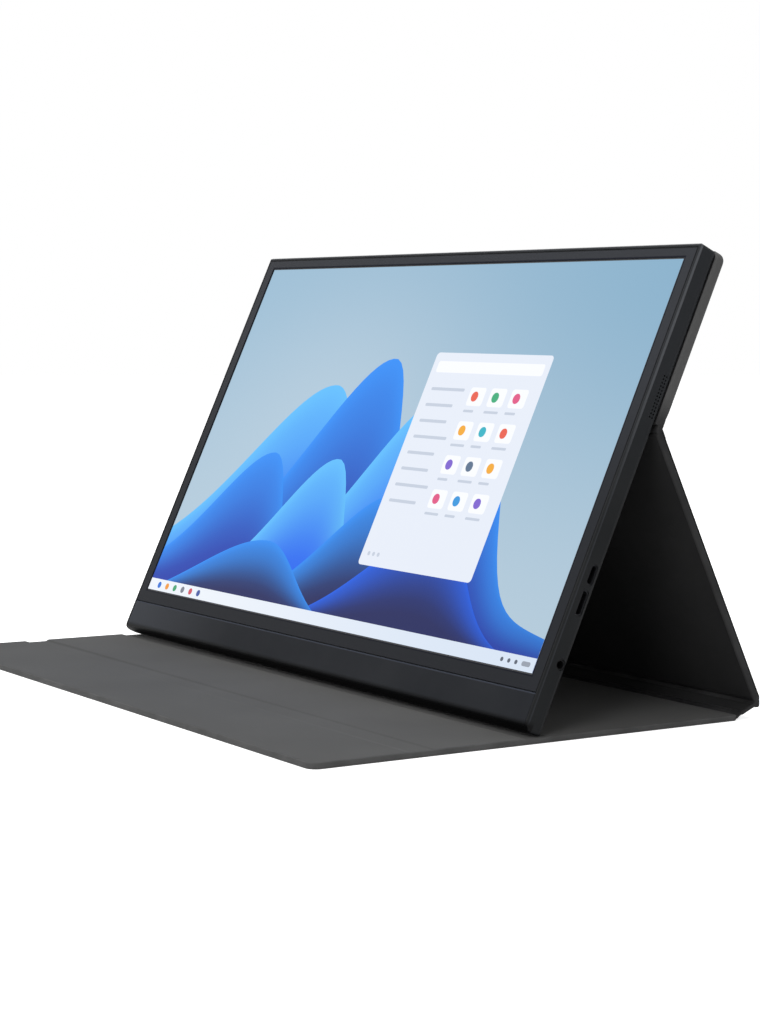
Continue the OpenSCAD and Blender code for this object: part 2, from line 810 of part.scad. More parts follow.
module driver_board() {
    color("#2f6b46") at_screen()
        block([-driver_w / 2, driver_front, driver_v[0]], [driver_w / 2, driver_front + board_t, driver_v[1]]);
}

// Folded film that joins the cell's lower edge to the driver board
module panel_flex() {
    film = flex_t;
    color("#c78a3a") at_screen() for (x = flex_x)
        across(x - flex_w / 2, x + flex_w / 2) polygon([
            [films_front - film, panel_bottom], [films_front - film, panel_bottom - 1],
            [driver_front - film, panel_bottom - 2], [driver_front - film, driver_v[1] - flex_lap],
            [driver_front, driver_v[1] - flex_lap], [driver_front, panel_bottom - 2 + film],
            [films_front, panel_bottom - 1 + film], [films_front, panel_bottom]
        ]);
}

module main_board() {
    color("#1f5f3c") at_screen() difference() {
        block([main_board_x[0], board_front, main_board_v[0]], [main_board_x[1], board_back, main_board_v[1]]);
        board_notch(usb_v, usb_shell[0], usb_len);
        board_notch(hdmi_v, hdmi_shell[0], hdmi_len);
        board_notch(jack_v, jack_body_w, jack_bore_depth + jack_wall + jack_set_back - port_set_back);
        board_boss_places() rotate([-90, 0, 0]) cylinder(r = screw_r + 0.2, h = case_t);
    }
}

module board_notch(v, w, len) {
    block([shell_x - len - port_gap, board_front - 1, v - w / 2 - port_gap],
        [case_w, board_back + 1, v + w / 2 + port_gap]);
}

module chip(c, rise) {
    translate([main_board_x[0] + c[0], board_front - c[4], main_board_v[0] + c[1] + rise]) cube([c[2], c[4], c[3]]);
}

module board_chips() {
    color("#1c1c1e") at_screen() {
        for (c = chips) chip(c, 0);
        for (i = [0 : small_chips - 1]) chip(small_chip, i * small_chip_pitch);
    }
}

module shield_can() {
    low = [main_board_x[0] + shield_place[0], board_front - shield_size[1], main_board_v[0] + shield_place[1]];
    wall = shield_wall;
    color("#c3c6c9") at_screen() difference() {
        translate(low) cube(shield_size);
        block(low + [wall, wall, wall], low + shield_size + [-wall, eps, -wall]);
    }
}

module board_screws() {
    color("#8f9296") at_screen() board_boss_places() rotate([-90, 0, 0]) {
        translate([0, 0, board_front - screw_head_t]) cylinder(r = screw_head_r, h = screw_head_t);
        translate([0, 0, board_front - eps]) cylinder(r = pilot_r, h = board_t + 1.4);
    }
}

// Ribbon from the main board down to the driver board
module main_ribbon() {
    film = ribbon_t;
    y = board_front - film;
    back = driver_front + board_t;
    color("#c9ccd0") at_screen() across(main_ribbon_x[0], main_ribbon_x[1]) polygon([
        [y, main_board_v[0] + ribbon_lap], [y, main_board_v[0] - 1], [back, driver_v[1] - 1],
        [back, driver_v[1] - 1 - ribbon_lap], [back + film, driver_v[1] - 1 - ribbon_lap],
        [back + film, driver_v[1] - 1 - film], [board_front, main_board_v[0] - 1 - film],
        [board_front, main_board_v[0] + ribbon_lap]
    ]);
}

// ---------- Ports ----------

module usb_c_port() {
    x0 = shell_x - usb_len;
    color("#b4b7ba") at_screen() translate([0, port_depth, usb_v]) {
        difference() {
            across(x0, shell_x) slot_outline(usb_shell);
            across(x0 + port_floor, shell_x + 1) slot_outline(usb_mouth);
        }
        block([x0, -usb_tongue[1] / 2, -usb_tongue[0] / 2],
            [x0 + port_floor + usb_tongue[2], usb_tongue[1] / 2, usb_tongue[0] / 2]);
    }
}

// D-shaped outline, long along y, with its front face narrower
module hdmi_outline(size) {
    polygon([
        [-size[1] / 2, -size[0] / 2], [size[1] / 2 - hdmi_slope, -size[0] / 2],
        [size[1] / 2, -size[0] / 2 + hdmi_slope], [size[1] / 2, size[0] / 2 - hdmi_slope],
        [size[1] / 2 - hdmi_slope, size[0] / 2], [-size[1] / 2, size[0] / 2]
    ]);
}

module mini_hdmi_port() {
    x0 = shell_x - hdmi_len;
    color("#b4b7ba") at_screen() translate([0, port_depth, hdmi_v]) {
        difference() {
            across(x0, shell_x) hdmi_outline(hdmi_shell);
            across(x0 + port_floor, shell_x + 1) hdmi_outline(hdmi_mouth);
        }
        block([x0, -hdmi_tongue[1] / 2, -hdmi_tongue[0] / 2],
            [x0 + port_floor + hdmi_tongue[2], hdmi_tongue[1] / 2, hdmi_tongue[0] / 2]);
    }
}

module headphone_jack() {
    body_x = inner_x - 0.1;
    x0 = jack_mouth_x - jack_bore_depth - jack_wall;
    color("#1a1a1c") at_screen() translate([0, jack_depth, jack_v]) difference() {
        union() {
            block([x0, -jack_body_h / 2, -jack_body_w / 2], [body_x, jack_body_h / 2, jack_body_w / 2]);
            translate([body_x - eps, 0, 0]) rotate([0, 90, 0])
                cylinder(r = jack_collar_r, h = jack_mouth_x - body_x + eps);
        }
        translate([jack_mouth_x - jack_bore_depth, 0, 0]) rotate([0, 90, 0])
            cylinder(r = jack_bore_r, h = jack_bore_depth + 1);
    }
}

// ---------- Speakers ----------

module speaker(side) {
    x1 = inner_x - 0.1;
    size = speaker_body;
    color("#202022") at_screen() difference() {
        translate([side > 0 ? x1 - size[0] : -x1, speaker_front, speaker_mid_v - size[2] / 2]) cube(size);
        // slot that the sound leaves by
        translate([0, speaker_row_depth, speaker_mid_v])
            across(side > 0 ? x1 - cone_depth : -x1 - 1, side > 0 ? x1 + 1 : -x1 + cone_depth)
                slot_outline([cone_len, 2 * cone_r]);
    }
}

module right_speaker() {
    speaker(1);
}

module left_speaker() {
    speaker(-1);
}

// ---------- Controls ----------

module button_board() {
    x0 = -inner_x + 0.6;
    color("#1f5f3c") at_screen()
        block([x0 + switch_size[0], board_front, button_board_v[0]],
            [x0 + button_board_w, board_back, button_board_v[1]]);
}

switch_gap = button_flange_t + button_travel + 0.2;

// Side-acting switches: one behind the power button and one at each end of the rocker
module side_switches() {
    x0 = -inner_x + switch_gap;
    color("#b4b7ba") at_screen() for (v = [power_v, rocker_v - rocker_reach, rocker_v + rocker_reach])
        translate([x0, board_front - switch_size[1], v - switch_size[2] / 2])
            cube([switch_size[0] + 1, switch_size[1], switch_size[2]]);
}

// Flat cable behind the display module, from the button board to the main board
module button_ribbon() {
    color("#c9ccd0") at_screen()
        block([-inner_x + 7, board_front - ribbon_t, button_ribbon_v[0]],
            [main_board_x[0] + ribbon_lap, board_front, button_ribbon_v[1]]);
}

module power_button() {
    y = [button_depth - button_size[0] / 2, button_depth + button_size[0] / 2];
    v = [power_v - button_size[1] / 2, power_v + button_size[1] / 2];
    flange = button_flange;
    color("#2b2c2f") at_screen() {
        block([-case_w / 2 - button_proud, y[0], v[0]], [-inner_x + button_flange_t, y[1], v[1]]);
        block([-inner_x + 0.05, y[0] - flange, v[0] - flange],
            [-inner_x + button_flange_t, y[1] + flange, v[1] + flange]);
    }
}

module menu_rocker() {
    y = [button_depth - rocker_size[0] / 2, button_depth + rocker_size[0] / 2];
    color("#2b2c2f") at_screen() difference() {
        union() {
            block([-case_w / 2 - button_proud, y[0], rocker_v - rocker_size[1] / 2 + rocker_swing_room / 2],
                [-inner_x - 0.4, y[1], rocker_v + rocker_size[1] / 2 - rocker_swing_room / 2]);
            block([-inner_x - 0.5, y[0], rocker_v - rocker_hub_r],
                [-inner_x + rocker_pin_in, y[1], rocker_v + rocker_hub_r]);
            translate([-inner_x + rocker_pin_in, y[0], rocker_v]) rotate([-90, 0, 0])
                cylinder(r = rocker_hub_r, h = y[1] - y[0]);
            // feet that press the switches
            for (s = [-1, 1])
                translate([0, 0, rocker_v + s * rocker_reach])
                    block([-inner_x - 0.5, y[0] + 0.3, -0.8], [-inner_x + switch_gap - 0.35, y[1] - 0.3, 0.8]);
        }
        translate([-inner_x + rocker_pin_in, button_depth, rocker_v]) rotate([90, 0, 0])
            cylinder(r = rocker_pin_r + rocker_pin_fit, h = 12, center = true);
    }
}

module rocker_pin() {
    len = rocker_size[0] + 2 * button_fit + 1.1;
    color("silver") at_screen() translate([-inner_x + rocker_pin_in, button_depth, rocker_v])
        rotate([90, 0, 0]) cylinder(r = rocker_pin_r, h = len, center = true);
}

// ---------- Steel plates that the cover's magnets hold ----------

module holding_plates() {
    color("#a9acb0") at_screen() for (s = [-1, 1])
        block([s * plate_x - plate_size[0] / 2, case_inner_back - plate_t, magnet_row_v - plate_size[1] / 2],
            [s * plate_x + plate_size[0] / 2, case_inner_back, magnet_row_v + plate_size[1] / 2]);
}

lid_skin();
lid_board();
lid_lining();
lid_fold_web();
spine_skin();
spine_stiffener();
spine_lining();
foot_fold_web();
leg_skin();
leg_board();
leg_lining();
back_fold_web();
upper_skin();
upper_board();
upper_lining();
cover_magnets();
rear_housing();
front_bezel();
chin_panel();
screen_film();
lcd_cell();
optical_films();
light_guide();
reflector_sheet();
led_strip();
backlight_tray();
driver_board();
panel_flex();
main_board();
board_chips();
shield_can();
board_screws();
main_ribbon();
usb_c_port();
mini_hdmi_port();
headphone_jack();
right_speaker();
left_speaker();
button_board();
side_switches();
button_ribbon();
power_button();
menu_rocker();
rocker_pin();
holding_plates();
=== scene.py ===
"""Looks of a portable monitor that stands in its folding cover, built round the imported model."""
import logging
import math
from collections.abc import Callable, Sequence
from dataclasses import dataclass, field
from enum import Enum

import bmesh
import bpy
from mathutils import Euler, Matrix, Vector


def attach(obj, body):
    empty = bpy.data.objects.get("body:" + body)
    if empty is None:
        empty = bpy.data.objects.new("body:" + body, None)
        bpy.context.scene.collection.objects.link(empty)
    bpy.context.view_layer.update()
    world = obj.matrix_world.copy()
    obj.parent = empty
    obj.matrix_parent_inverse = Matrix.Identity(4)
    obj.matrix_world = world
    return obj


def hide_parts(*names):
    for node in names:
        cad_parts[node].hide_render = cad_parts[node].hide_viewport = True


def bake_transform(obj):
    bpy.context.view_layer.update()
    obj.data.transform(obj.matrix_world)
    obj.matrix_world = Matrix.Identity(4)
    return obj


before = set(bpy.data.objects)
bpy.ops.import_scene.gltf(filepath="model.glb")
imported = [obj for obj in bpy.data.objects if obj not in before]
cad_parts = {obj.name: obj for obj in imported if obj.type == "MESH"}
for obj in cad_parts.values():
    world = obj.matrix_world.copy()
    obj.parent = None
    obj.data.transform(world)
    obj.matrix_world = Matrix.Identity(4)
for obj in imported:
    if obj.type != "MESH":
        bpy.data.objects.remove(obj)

LOG = logging.getLogger("portable_monitor")
MM = 0.001

Colour = tuple[float, float, float]
Point = tuple[float, float, float]
Place = tuple[float, float]

BLACK: Colour = (0.0, 0.0, 0.0)
WHITE: Colour = (1.0, 1.0, 1.0)


def linear(red: float, green: float, blue: float) -> Colour:
    """Screen colour to linear light.

    Args:
        red: Red, 0 to 255.
        green: Green, 0 to 255.
        blue: Blue, 0 to 255.

    Returns:
        The same colour as three linear numbers from 0 to 1.
    """
    def one(value: float) -> float:
        """One channel to linear light."""
        share = value / 255
        return share / 12.92 if share <= 0.04045 else ((share + 0.055) / 1.055) ** 2.4

    return one(red), one(green), one(blue)


def mixed(first: Colour, second: Colour, share: float) -> Colour:
    """The colour that lies the given share of the way from first to second."""
    return tuple(a + (b - a) * share for a, b in zip(first, second))


def eased(value: float) -> float:
    """Smooth step of a value held between 0 and 1."""
    held = min(1.0, max(0.0, value))
    return held * held * (3 - 2 * held)


# ---------- Where things are ----------


class Way(Enum):
    """The ways in which a span is measured from a panel, as steps along it and out of it."""

    ALONG = (1, 0)
    OUT = (0, 1)


@dataclass(frozen=True)
class Span:
    """The space between two parallel planes, in metres along their shared direction.

    A soft of its own, in metres, lets its border fade over a longer way than its patch's does.
    """

    way: Point
    low: float
    high: float
    soft: float = 0.0


@dataclass(frozen=True)
class PanelFrame:
    """A frame in the side view, in millimetres: along runs up or back, out points away from the panel."""

    origin: Place
    angle: float

    def point(self, x: float, along: float, out: float) -> Vector:
        """Turns local millimetres into metres in the shared frame.

        Args:
            x: Place along the screen's width.
            along: Place along the panel.
            out: Height above the panel's reference face.

        Returns:
            The point in metres.
        """
        c, s = math.cos(self.angle), math.sin(self.angle)
        y = self.origin[0] + along * c - out * s
        z = self.origin[1] + along * s + out * c
        return Vector((x, y, z)) * MM

    def span(self, way: Way, low: float, high: float, soft: float = 0.0) -> Span:
        """The space between two heights above the panel, or between two places along it.

        Args:
            way: Whether it is measured out of the panel's reference face or along the panel.
            low: Where it starts, in local millimetres.
            high: Where it ends.
            soft: How far its border fades, or 0 for as far as its patch's does.

        Returns:
            The span in metres.
        """
        base = self.point(0, 0, 0)
        across = self.point(0, *way.value) - base
        across.normalize()
        level = base.dot(across)
        return Span(tuple(across), level + low * MM, level + high * MM, soft * MM)


@dataclass(frozen=True)
class Stance:
    """Sizes of the standing monitor and cover, in millimetres."""

    # The screen: it leans back, and its lit area's lower edge is the side view's y 0
    tilt: float = math.radians(24.16)
    screen_z: float = 25.7286
    middle: float = 4.3292  # from that edge back to the shared frame's origin
    # Thicknesses
    lid_t: float = 2.8
    spine_t: float = 1.8
    leg_t: float = 4.2
    upper_t: float = 5.2
    upper_waist: float = 4.5  # the upper panel's at the back fold
    case_t: float = 9.7
    # The folds' axes in the side view, from the lid's top
    lid_fold: Place = (111.163, -0.1)
    foot_fold: Place = (122.287, 4.4)
    back_fold: Place = (59.3359, 128.44)
    # Places along each panel
    lid_ends: Place = (-115.637, 109.763)
    spine_start: float = 1.1
    spine_end: float = 9.6
    leg_start: float = 2.2
    leg_len: float = 139.1
    fold_v: float = 118.0  # the back fold, up the screen
    upper_top: float = 202.3
    fold_gap: float = 1.4  # from the back fold to each panel's end
    run_gap: float = 0.3  # between the monitor and the leg when they are folded flat
    # Places on the screen's front
    rim_bevel: float = 1.0
    bezel_half: float = 179.1
    bezel_top: float = 199.1
    lit_half: float = 172.1
    lit_h: float = 193.6
    chin_top: float = -7.65
    case_low: float = -24.4

    def shared(self, place: Place) -> Place:
        """A side-view place in the shared frame, from one measured from the lid's top under the lit area."""
        return place[0] - self.middle, place[1] + self.lid_t

    def lid(self) -> PanelFrame:
        """Along runs to the back, out is up, 0 is the lid's top face."""
        return PanelFrame(self.shared((0.0, 0.0)), 0.0)

    def spine(self) -> PanelFrame:
        """Along runs from the lid's fold to the foot, out is towards the lining."""
        dy = self.foot_fold[0] - self.lid_fold[0]
        dz = self.foot_fold[1] - self.lid_fold[1]
        return PanelFrame(self.shared(self.lid_fold), math.atan2(dz, dy))

    def leg(self) -> PanelFrame:
        """Along runs up from the foot, out is towards the monitor."""
        dy = self.back_fold[0] - self.foot_fold[0]
        dz = self.back_fold[1] - self.foot_fold[1]
        return PanelFrame(self.shared(self.foot_fold), math.atan2(dz, dy))

    def screen(self) -> PanelFrame:
        """Along runs up the screen from the lit area's lower edge, out is out of its front."""
        return PanelFrame(self.shared((0.0, self.screen_z)), math.pi / 2 - self.tilt)


STANCE = Stance()


# ---------- Finishes ----------


class Graph:
    """A small helper that adds shader nodes to one material."""

    def __init__(self, name: str) -> None:
        """Starts an empty material with a Principled shader.

        Args:
            name: The material's name.
        """
        self.material = bpy.data.materials.new(name)
        self.material.use_nodes = True
        self.nodes = self.material.node_tree.nodes
        self.links = self.material.node_tree.links
        self.nodes.clear()
        self.output = self.nodes.new("ShaderNodeOutputMaterial")
        self.shader = self.nodes.new("ShaderNodeBsdfPrincipled")
        self.join(self.shader.outputs[0], self.output.inputs["Surface"])

    def join(self, source: bpy.types.NodeSocket, target: bpy.types.NodeSocket) -> None:
        """Links one socket to another."""
        self.links.new(source, target)

    def add(self, kind: str, **values: float) -> bpy.types.Node:
        """Adds a node and sets its inputs by name, with _ for a space.

        Args:
            kind: Blender's name of the node type.
            **values: Input name to its value.

        Returns:
            The new node.
        """
        node = self.nodes.new(kind)
        for key, value in values.items():
            node.inputs[key.replace("_", " ")].default_value = value
        return node

    def set(self, **values: float | Colour) -> None:
        """Sets the Principled shader's own sockets, with _ for a space."""
        for key, value in values.items():
            socket = self.shader.inputs[key.replace("_", " ")]
            socket.default_value = (*value, 1.0) if isinstance(value, tuple) else value

    def place(self) -> bpy.types.NodeSocket:
        """The position on the surface, in the object's own space."""
        return self.nodes.new("ShaderNodeTexCoord").outputs["Object"]

    def stretched(self, scale: Point) -> bpy.types.NodeSocket:
        """The position on the surface, stretched along each axis by scale."""
        mapping = self.nodes.new("ShaderNodeMapping")
        mapping.inputs["Scale"].default_value = scale
        self.join(self.place(), mapping.inputs["Vector"])
        return mapping.outputs["Vector"]

    def noise(self, scale: float, detail: float,
              vector: bpy.types.NodeSocket | None = None) -> bpy.types.Node:
        """A noise texture in the object's own space.

        Args:
            scale: Cells per metre.
            detail: Octaves.
            vector: Where to read it, or None for the plain position.

        Returns:
            The noise node.
        """
        node = self.add("ShaderNodeTexNoise", Scale=scale, Detail=detail)
        self.join(vector or self.place(), node.inputs["Vector"])
        return node

    def cells(self, scale: float) -> bpy.types.Node:
        """A texture of rounded cells in the object's own space, which gives the distance to their borders."""
        node = self.nodes.new("ShaderNodeTexVoronoi")
        node.feature = "DISTANCE_TO_EDGE"
        node.inputs["Scale"].default_value = scale
        self.join(self.place(), node.inputs["Vector"])
        return node

    def spread(self, source: bpy.types.NodeSocket, low: float, high: float) -> bpy.types.NodeSocket:
        """Maps a 0 to 1 value onto low to high."""
        node = self.nodes.new("ShaderNodeMapRange")
        node.inputs["To Min"].default_value = low
        node.inputs["To Max"].default_value = high
        self.join(source, node.inputs["Value"])
        return node.outputs["Result"]

    def inside(self, span: Span, soft: float) -> bpy.types.NodeSocket:
        """How far a place lies between a span's two planes, from 0 to 1.

        Args:
            span: The two planes.
            soft: Metres over which each plane's border fades.

        Returns:
            The socket that holds the share.
        """
        reach = self.nodes.new("ShaderNodeVectorMath")
        reach.operation = "DOT_PRODUCT"
        reach.inputs[1].default_value = span.way
        self.join(self.place(), reach.inputs[0])
        shares = []
        for border, rising in ((span.low, True), (span.high, False)):
            step = self.nodes.new("ShaderNodeMapRange")
            step.interpolation_type = "SMOOTHSTEP"
            step.inputs["From Min"].default_value = border - soft
            step.inputs["From Max"].default_value = border + soft
            step.inputs["To Min"].default_value = 0.0 if rising else 1.0
            step.inputs["To Max"].default_value = 1.0 if rising else 0.0
            self.join(reach.outputs["Value"], step.inputs["Value"])
            shares.append(step.outputs["Result"])
        return self.product(*shares)

    def product(self, first: bpy.types.NodeSocket, second: bpy.types.NodeSocket) -> bpy.types.NodeSocket:
        """Two values multiplied."""
        node = self.nodes.new("ShaderNodeMath")
        node.operation = "MULTIPLY"
        self.join(first, node.inputs[0])
        self.join(second, node.inputs[1])
        return node.outputs["Value"]

    def patch(self, patches: Sequence["Patch"]) -> None:
        """Lays patches of another colour over the shader's colour, each over the ones before it."""
        base = self.shader.inputs["Base Color"]
        for patch in patches:
            share = self.inside(patch.spans[0], patch.spans[0].soft or patch.soft)
            for span in patch.spans[1:]:
                share = self.product(share, self.inside(span, span.soft or patch.soft))
            node = self.nodes.new("ShaderNodeMix")
            node.data_type = "RGBA"
            node.inputs["B"].default_value = (*patch.colour, 1)
            self.join(share, node.inputs["Factor"])
            self.join(base.links[0].from_socket, node.inputs["A"])
            self.join(node.outputs["Result"], base)

    def tinted(self, source: bpy.types.NodeSocket, dark: Colour, light: Colour) -> None:
        """Colours the shader between two colours by a 0 to 1 value."""
        ramp = self.nodes.new("ShaderNodeValToRGB")
        ramp.color_ramp.elements[0].position = 0.3
        ramp.color_ramp.elements[1].position = 0.7
        ramp.color_ramp.elements[0].color = (*dark, 1)
        ramp.color_ramp.elements[1].color = (*light, 1)
        self.join(source, ramp.inputs["Fac"])
        self.join(ramp.outputs["Color"], self.shader.inputs["Base Color"])

    def clouded(self, source: bpy.types.NodeSocket, colour: Colour,
                darker: float, lighter: float = 0.0) -> None:
        """Colours the shader with one colour that a 0 to 1 value takes darker or lighter.

        Args:
            source: The value.
            colour: The colour.
            darker: Share of black at the value's low end.
            lighter: Share of white at its high end.
        """
        self.tinted(source, mixed(colour, BLACK, darker), mixed(colour, WHITE, lighter))

    def rough(self, source: bpy.types.NodeSocket, low: float, high: float) -> None:
        """Lets a 0 to 1 value take the shader's roughness from low to high."""
        self.join(self.spread(source, low, high), self.shader.inputs["Roughness"])

    def bump(self, height: bpy.types.NodeSocket, distance: float, strength: float) -> None:
        """Adds a bump to the shader, on top of any that it has.

        Args:
            height: The height from 0 to 1.
            distance: How deep the height is, in metres.
            strength: Share of the bump that shows.
        """
        node = self.add("ShaderNodeBump", Strength=strength, Distance=distance)
        before = self.shader.inputs["Normal"]
        if before.is_linked:
            self.join(before.links[0].from_socket, node.inputs["Normal"])
        self.join(height, node.inputs["Height"])
        self.join(node.outputs["Normal"], before)


@dataclass(frozen=True)
class Patch:
    """Part of a surface with another colour, such as a painted highlight or painted shade on an edge: where
    all its spans meet.
    """

    spans: tuple[Span, ...]
    colour: Colour
    soft: float = 0.0002


@dataclass(frozen=True)
class Finish:
    """What a piece is made of or coated with."""

    name: str
    colour: Colour

    def paint(self, graph: Graph) -> None:
        """Gives the graph's shader the look of this finish."""
        raise NotImplementedError

    def material(self) -> bpy.types.Material:
        """Builds the material."""
        graph = Graph(self.name)
        self.paint(graph)
        return graph.material


@dataclass(frozen=True)
class MouldedPlastic(Finish):
    """Injection-moulded plastic with a fine spark-eroded texture."""

    roughness: float = 0.5
    grain: float = 2600.0
    depth: float = 0.00004
    strength: float = 0.25
    shine: float = 0.08
    patches: tuple[Patch, ...] = ()

    def paint(self, graph: Graph) -> None:
        """Broad faint clouds, patches of another colour, mostly painted light and painted shade, and a fine
        grain.
        """
        broad = graph.noise(scale=22.0, detail=4.0)
        graph.clouded(broad.outputs["Fac"], self.colour, darker=0.07, lighter=0.008)
        graph.patch(self.patches)
        fine = graph.noise(self.grain, detail=2.0)
        graph.rough(fine.outputs["Fac"], self.roughness - 0.06, self.roughness + 0.06)
        graph.bump(fine.outputs["Fac"], self.depth, self.strength)
        graph.set(IOR=1.46, Specular_IOR_Level=self.shine)


@dataclass(frozen=True)
class Leatherette(Finish):
    """Coated leatherette: small pebbles, fine creases between them and a satin coat."""

    roughness: float = 0.52
    pebble: float = 1500.0
    depth: float = 0.00012
    shine: float = 0.11
    patches: tuple[Patch, ...] = ()

    def paint(self, graph: Graph) -> None:
        """Faint clouds, patches of painted light and painted shade, and pebbles with creases between them."""
        clouds = graph.noise(scale=60.0, detail=5.0)
        graph.clouded(clouds.outputs["Fac"], self.colour, darker=0.16, lighter=0.02)
        graph.patch(self.patches)
        pebbles = graph.cells(self.pebble)
        creases = graph.noise(self.pebble * 1.8, detail=3.0)
        graph.rough(pebbles.outputs["Distance"], self.roughness + 0.12, self.roughness - 0.05)
        graph.bump(pebbles.outputs["Distance"], self.depth, strength=0.5)
        graph.bump(creases.outputs["Fac"], self.depth * 0.5, strength=0.3)
        graph.set(IOR=1.45, Specular_IOR_Level=self.shine)


@dataclass(frozen=True)
class Microfibre(Finish):
    """Brushed microfibre lining: short nap with soft directional streaks and a dusty sheen."""

    sheen: float = 0.25
    nap: float = 3800.0

    def paint(self, graph: Graph) -> None:
        """Faint clouds, streaks along the nap and fine hairs."""
        clouds = graph.noise(scale=14.0, detail=5.0)
        graph.clouded(clouds.outputs["Fac"], self.colour, darker=0.08, lighter=0.012)
        streaks = graph.noise(self.nap * 0.3, 3.0, graph.stretched((0.35, 1.0, 1.0)))
        hair = graph.noise(self.nap, detail=2.0)
        graph.bump(streaks.outputs["Fac"], distance=0.0001, strength=0.2)
        graph.bump(hair.outputs["Fac"], distance=0.00008, strength=0.35)
        graph.set(Roughness=0.95, Sheen_Weight=self.sheen, Sheen_Roughness=0.6,
                  Sheen_Tint=mixed(self.colour, WHITE, 0.35), Specular_IOR_Level=0.2)


@dataclass(frozen=True)
class DrawnMetal(Finish):
    """Plain sheet or turned metal with fine drawing marks."""

    roughness: float = 0.34

    def paint(self, graph: Graph) -> None:
        """Fine marks along one way."""
        marks = graph.noise(900.0, 3.0, graph.stretched((0.15, 1.0, 1.0)))
        graph.clouded(marks.outputs["Fac"], self.colour, darker=0.12)
        graph.rough(marks.outputs["Fac"], self.roughness - 0.08, self.roughness + 0.1)
        graph.bump(marks.outputs["Fac"], distance=0.00001, strength=0.2)
        graph.set(Metallic=1.0)


@dataclass(frozen=True)
class PlasticFilm(Finish):
    """Thin film, acrylic sheet or glass, with faint clouding."""

    roughness: float = 0.25
    coat: float = 0.3

    def paint(self, graph: Graph) -> None:
        """Faint clouds under a coat."""
        clouds = graph.noise(scale=40.0, detail=2.0)
        graph.clouded(clouds.outputs["Fac"], self.colour, darker=0.05)
        graph.rough(clouds.outputs["Fac"], self.roughness - 0.05, self.roughness + 0.05)
        graph.set(Coat_Weight=self.coat, Coat_Roughness=0.1)


@dataclass(frozen=True)
class PressedBoard(Finish):
    """Grey pressed board with short fibres."""

    colour: Colour = (0.3, 0.28, 0.25)

    def paint(self, graph: Graph) -> None:
        """Short fibres."""
        fibres = graph.noise(scale=700.0, detail=6.0)
        graph.clouded(fibres.outputs["Fac"], self.colour, darker=0.25)
        graph.bump(fibres.outputs["Fac"], distance=0.00015, strength=0.4)
        graph.set(Roughness=0.9)


@dataclass(frozen=True)
class CircuitBoard(Finish):
    """Green solder mask with the pale marks of the tracks under it."""

    colour: Colour = (0.02, 0.13, 0.06)
    track: Colour = (0.6, 0.7, 0.4)

    def paint(self, graph: Graph) -> None:
        """Pale tracks under the mask."""
        tracks = graph.cells(scale=420.0)
        graph.tinted(tracks.outputs["Distance"], mixed(self.colour, self.track, 0.2), self.colour)
        graph.bump(tracks.outputs["Distance"], distance=0.00003, strength=0.3)
        graph.set(Roughness=0.35, Coat_Weight=0.3)


@dataclass(frozen=True)
class LitPicture(Finish):
    """Lit display surface under an anti-glare film; the picture's colours are in the mesh."""

    colour: Colour = (0.004, 0.004, 0.005)
    strength: float = 1.0

    def paint(self, graph: Graph) -> None:
        """Light in the colours of the mesh, behind a finely grained film."""
        paint = graph.nodes.new("ShaderNodeAttribute")
        paint.attribute_name = "Picture"
        graph.join(paint.outputs["Color"], graph.shader.inputs["Emission Color"])
        fine = graph.noise(scale=4200.0, detail=2.0)
        graph.rough(fine.outputs["Fac"], low=0.34, high=0.46)
        graph.bump(fine.outputs["Fac"], distance=0.00001, strength=0.1)
        graph.set(Base_Color=self.colour, Emission_Strength=self.strength, Specular_IOR_Level=0.18)


# Where colours change, mostly where light and shade are painted: places in millimetres, fades of patches in
# metres
FAR = 500.0
ACROSS = (1.0, 0.0, 0.0)
FRONT = STANCE.screen()
EDGE_FADE = 0.00015
# Width in mm of the bezel's outer band, where its dark base colour shows as painted seam shadow
BEZEL_SEAM_SHADE = 0.45
LIT_BORDER = 1.4


def screen_box(half: float, low: float, high: float) -> tuple[Span, ...]:
    """The space in front of and behind a rectangle on the screen, in local millimetres."""
    return Span(ACROSS, -half * MM, half * MM), FRONT.span(Way.ALONG, low, high)


def leg_edge(depth: float) -> Span:
    """The outermost layer of the leg, towards the back, of the given depth in millimetres."""
    return STANCE.leg().span(Way.OUT, -FAR, depth - STANCE.leg_t / 2)


# Painted shade for the leg's rounded back edge, which turns away from the light
PAINTED_EDGE_SHADE = linear(5, 5, 6)
# Painted shade for the monitor's rounded underside, below the chin
PAINTED_UNDERSIDE_SHADE = linear(3, 3, 4)
COVER_TONE = linear(46, 46, 47)
# Painted shade: the leg's and back fold's leather, a darker copy of the cover's leather
SHADED_LEG_TONE = linear(42, 42, 43)
# Painted light: the upper back panel's leather, lit from above, much lighter than the rest of the cover
LIT_UPPER_TONE = linear(90, 90, 90)
LEATHER = Leatherette("cover_leatherette", COVER_TONE)
# Painted light: the lid's leather, a much lighter copy of the cover's leather
LIT_LID_LEATHER = Leatherette("lit_lid_leatherette", linear(84, 84, 84))
# The back fold wears the leg's painted shade tone
SHADED_FOLD_LEATHER = Leatherette("shaded_fold_leatherette", SHADED_LEG_TONE)
# The leg's leather: the darker shaded tone, with painted shade along its back edge
SHADED_LEG_LEATHER = Leatherette("shaded_leg_leatherette", SHADED_LEG_TONE, patches=(Patch((leg_edge(1.2),), PAINTED_EDGE_SHADE, 0.0003),))
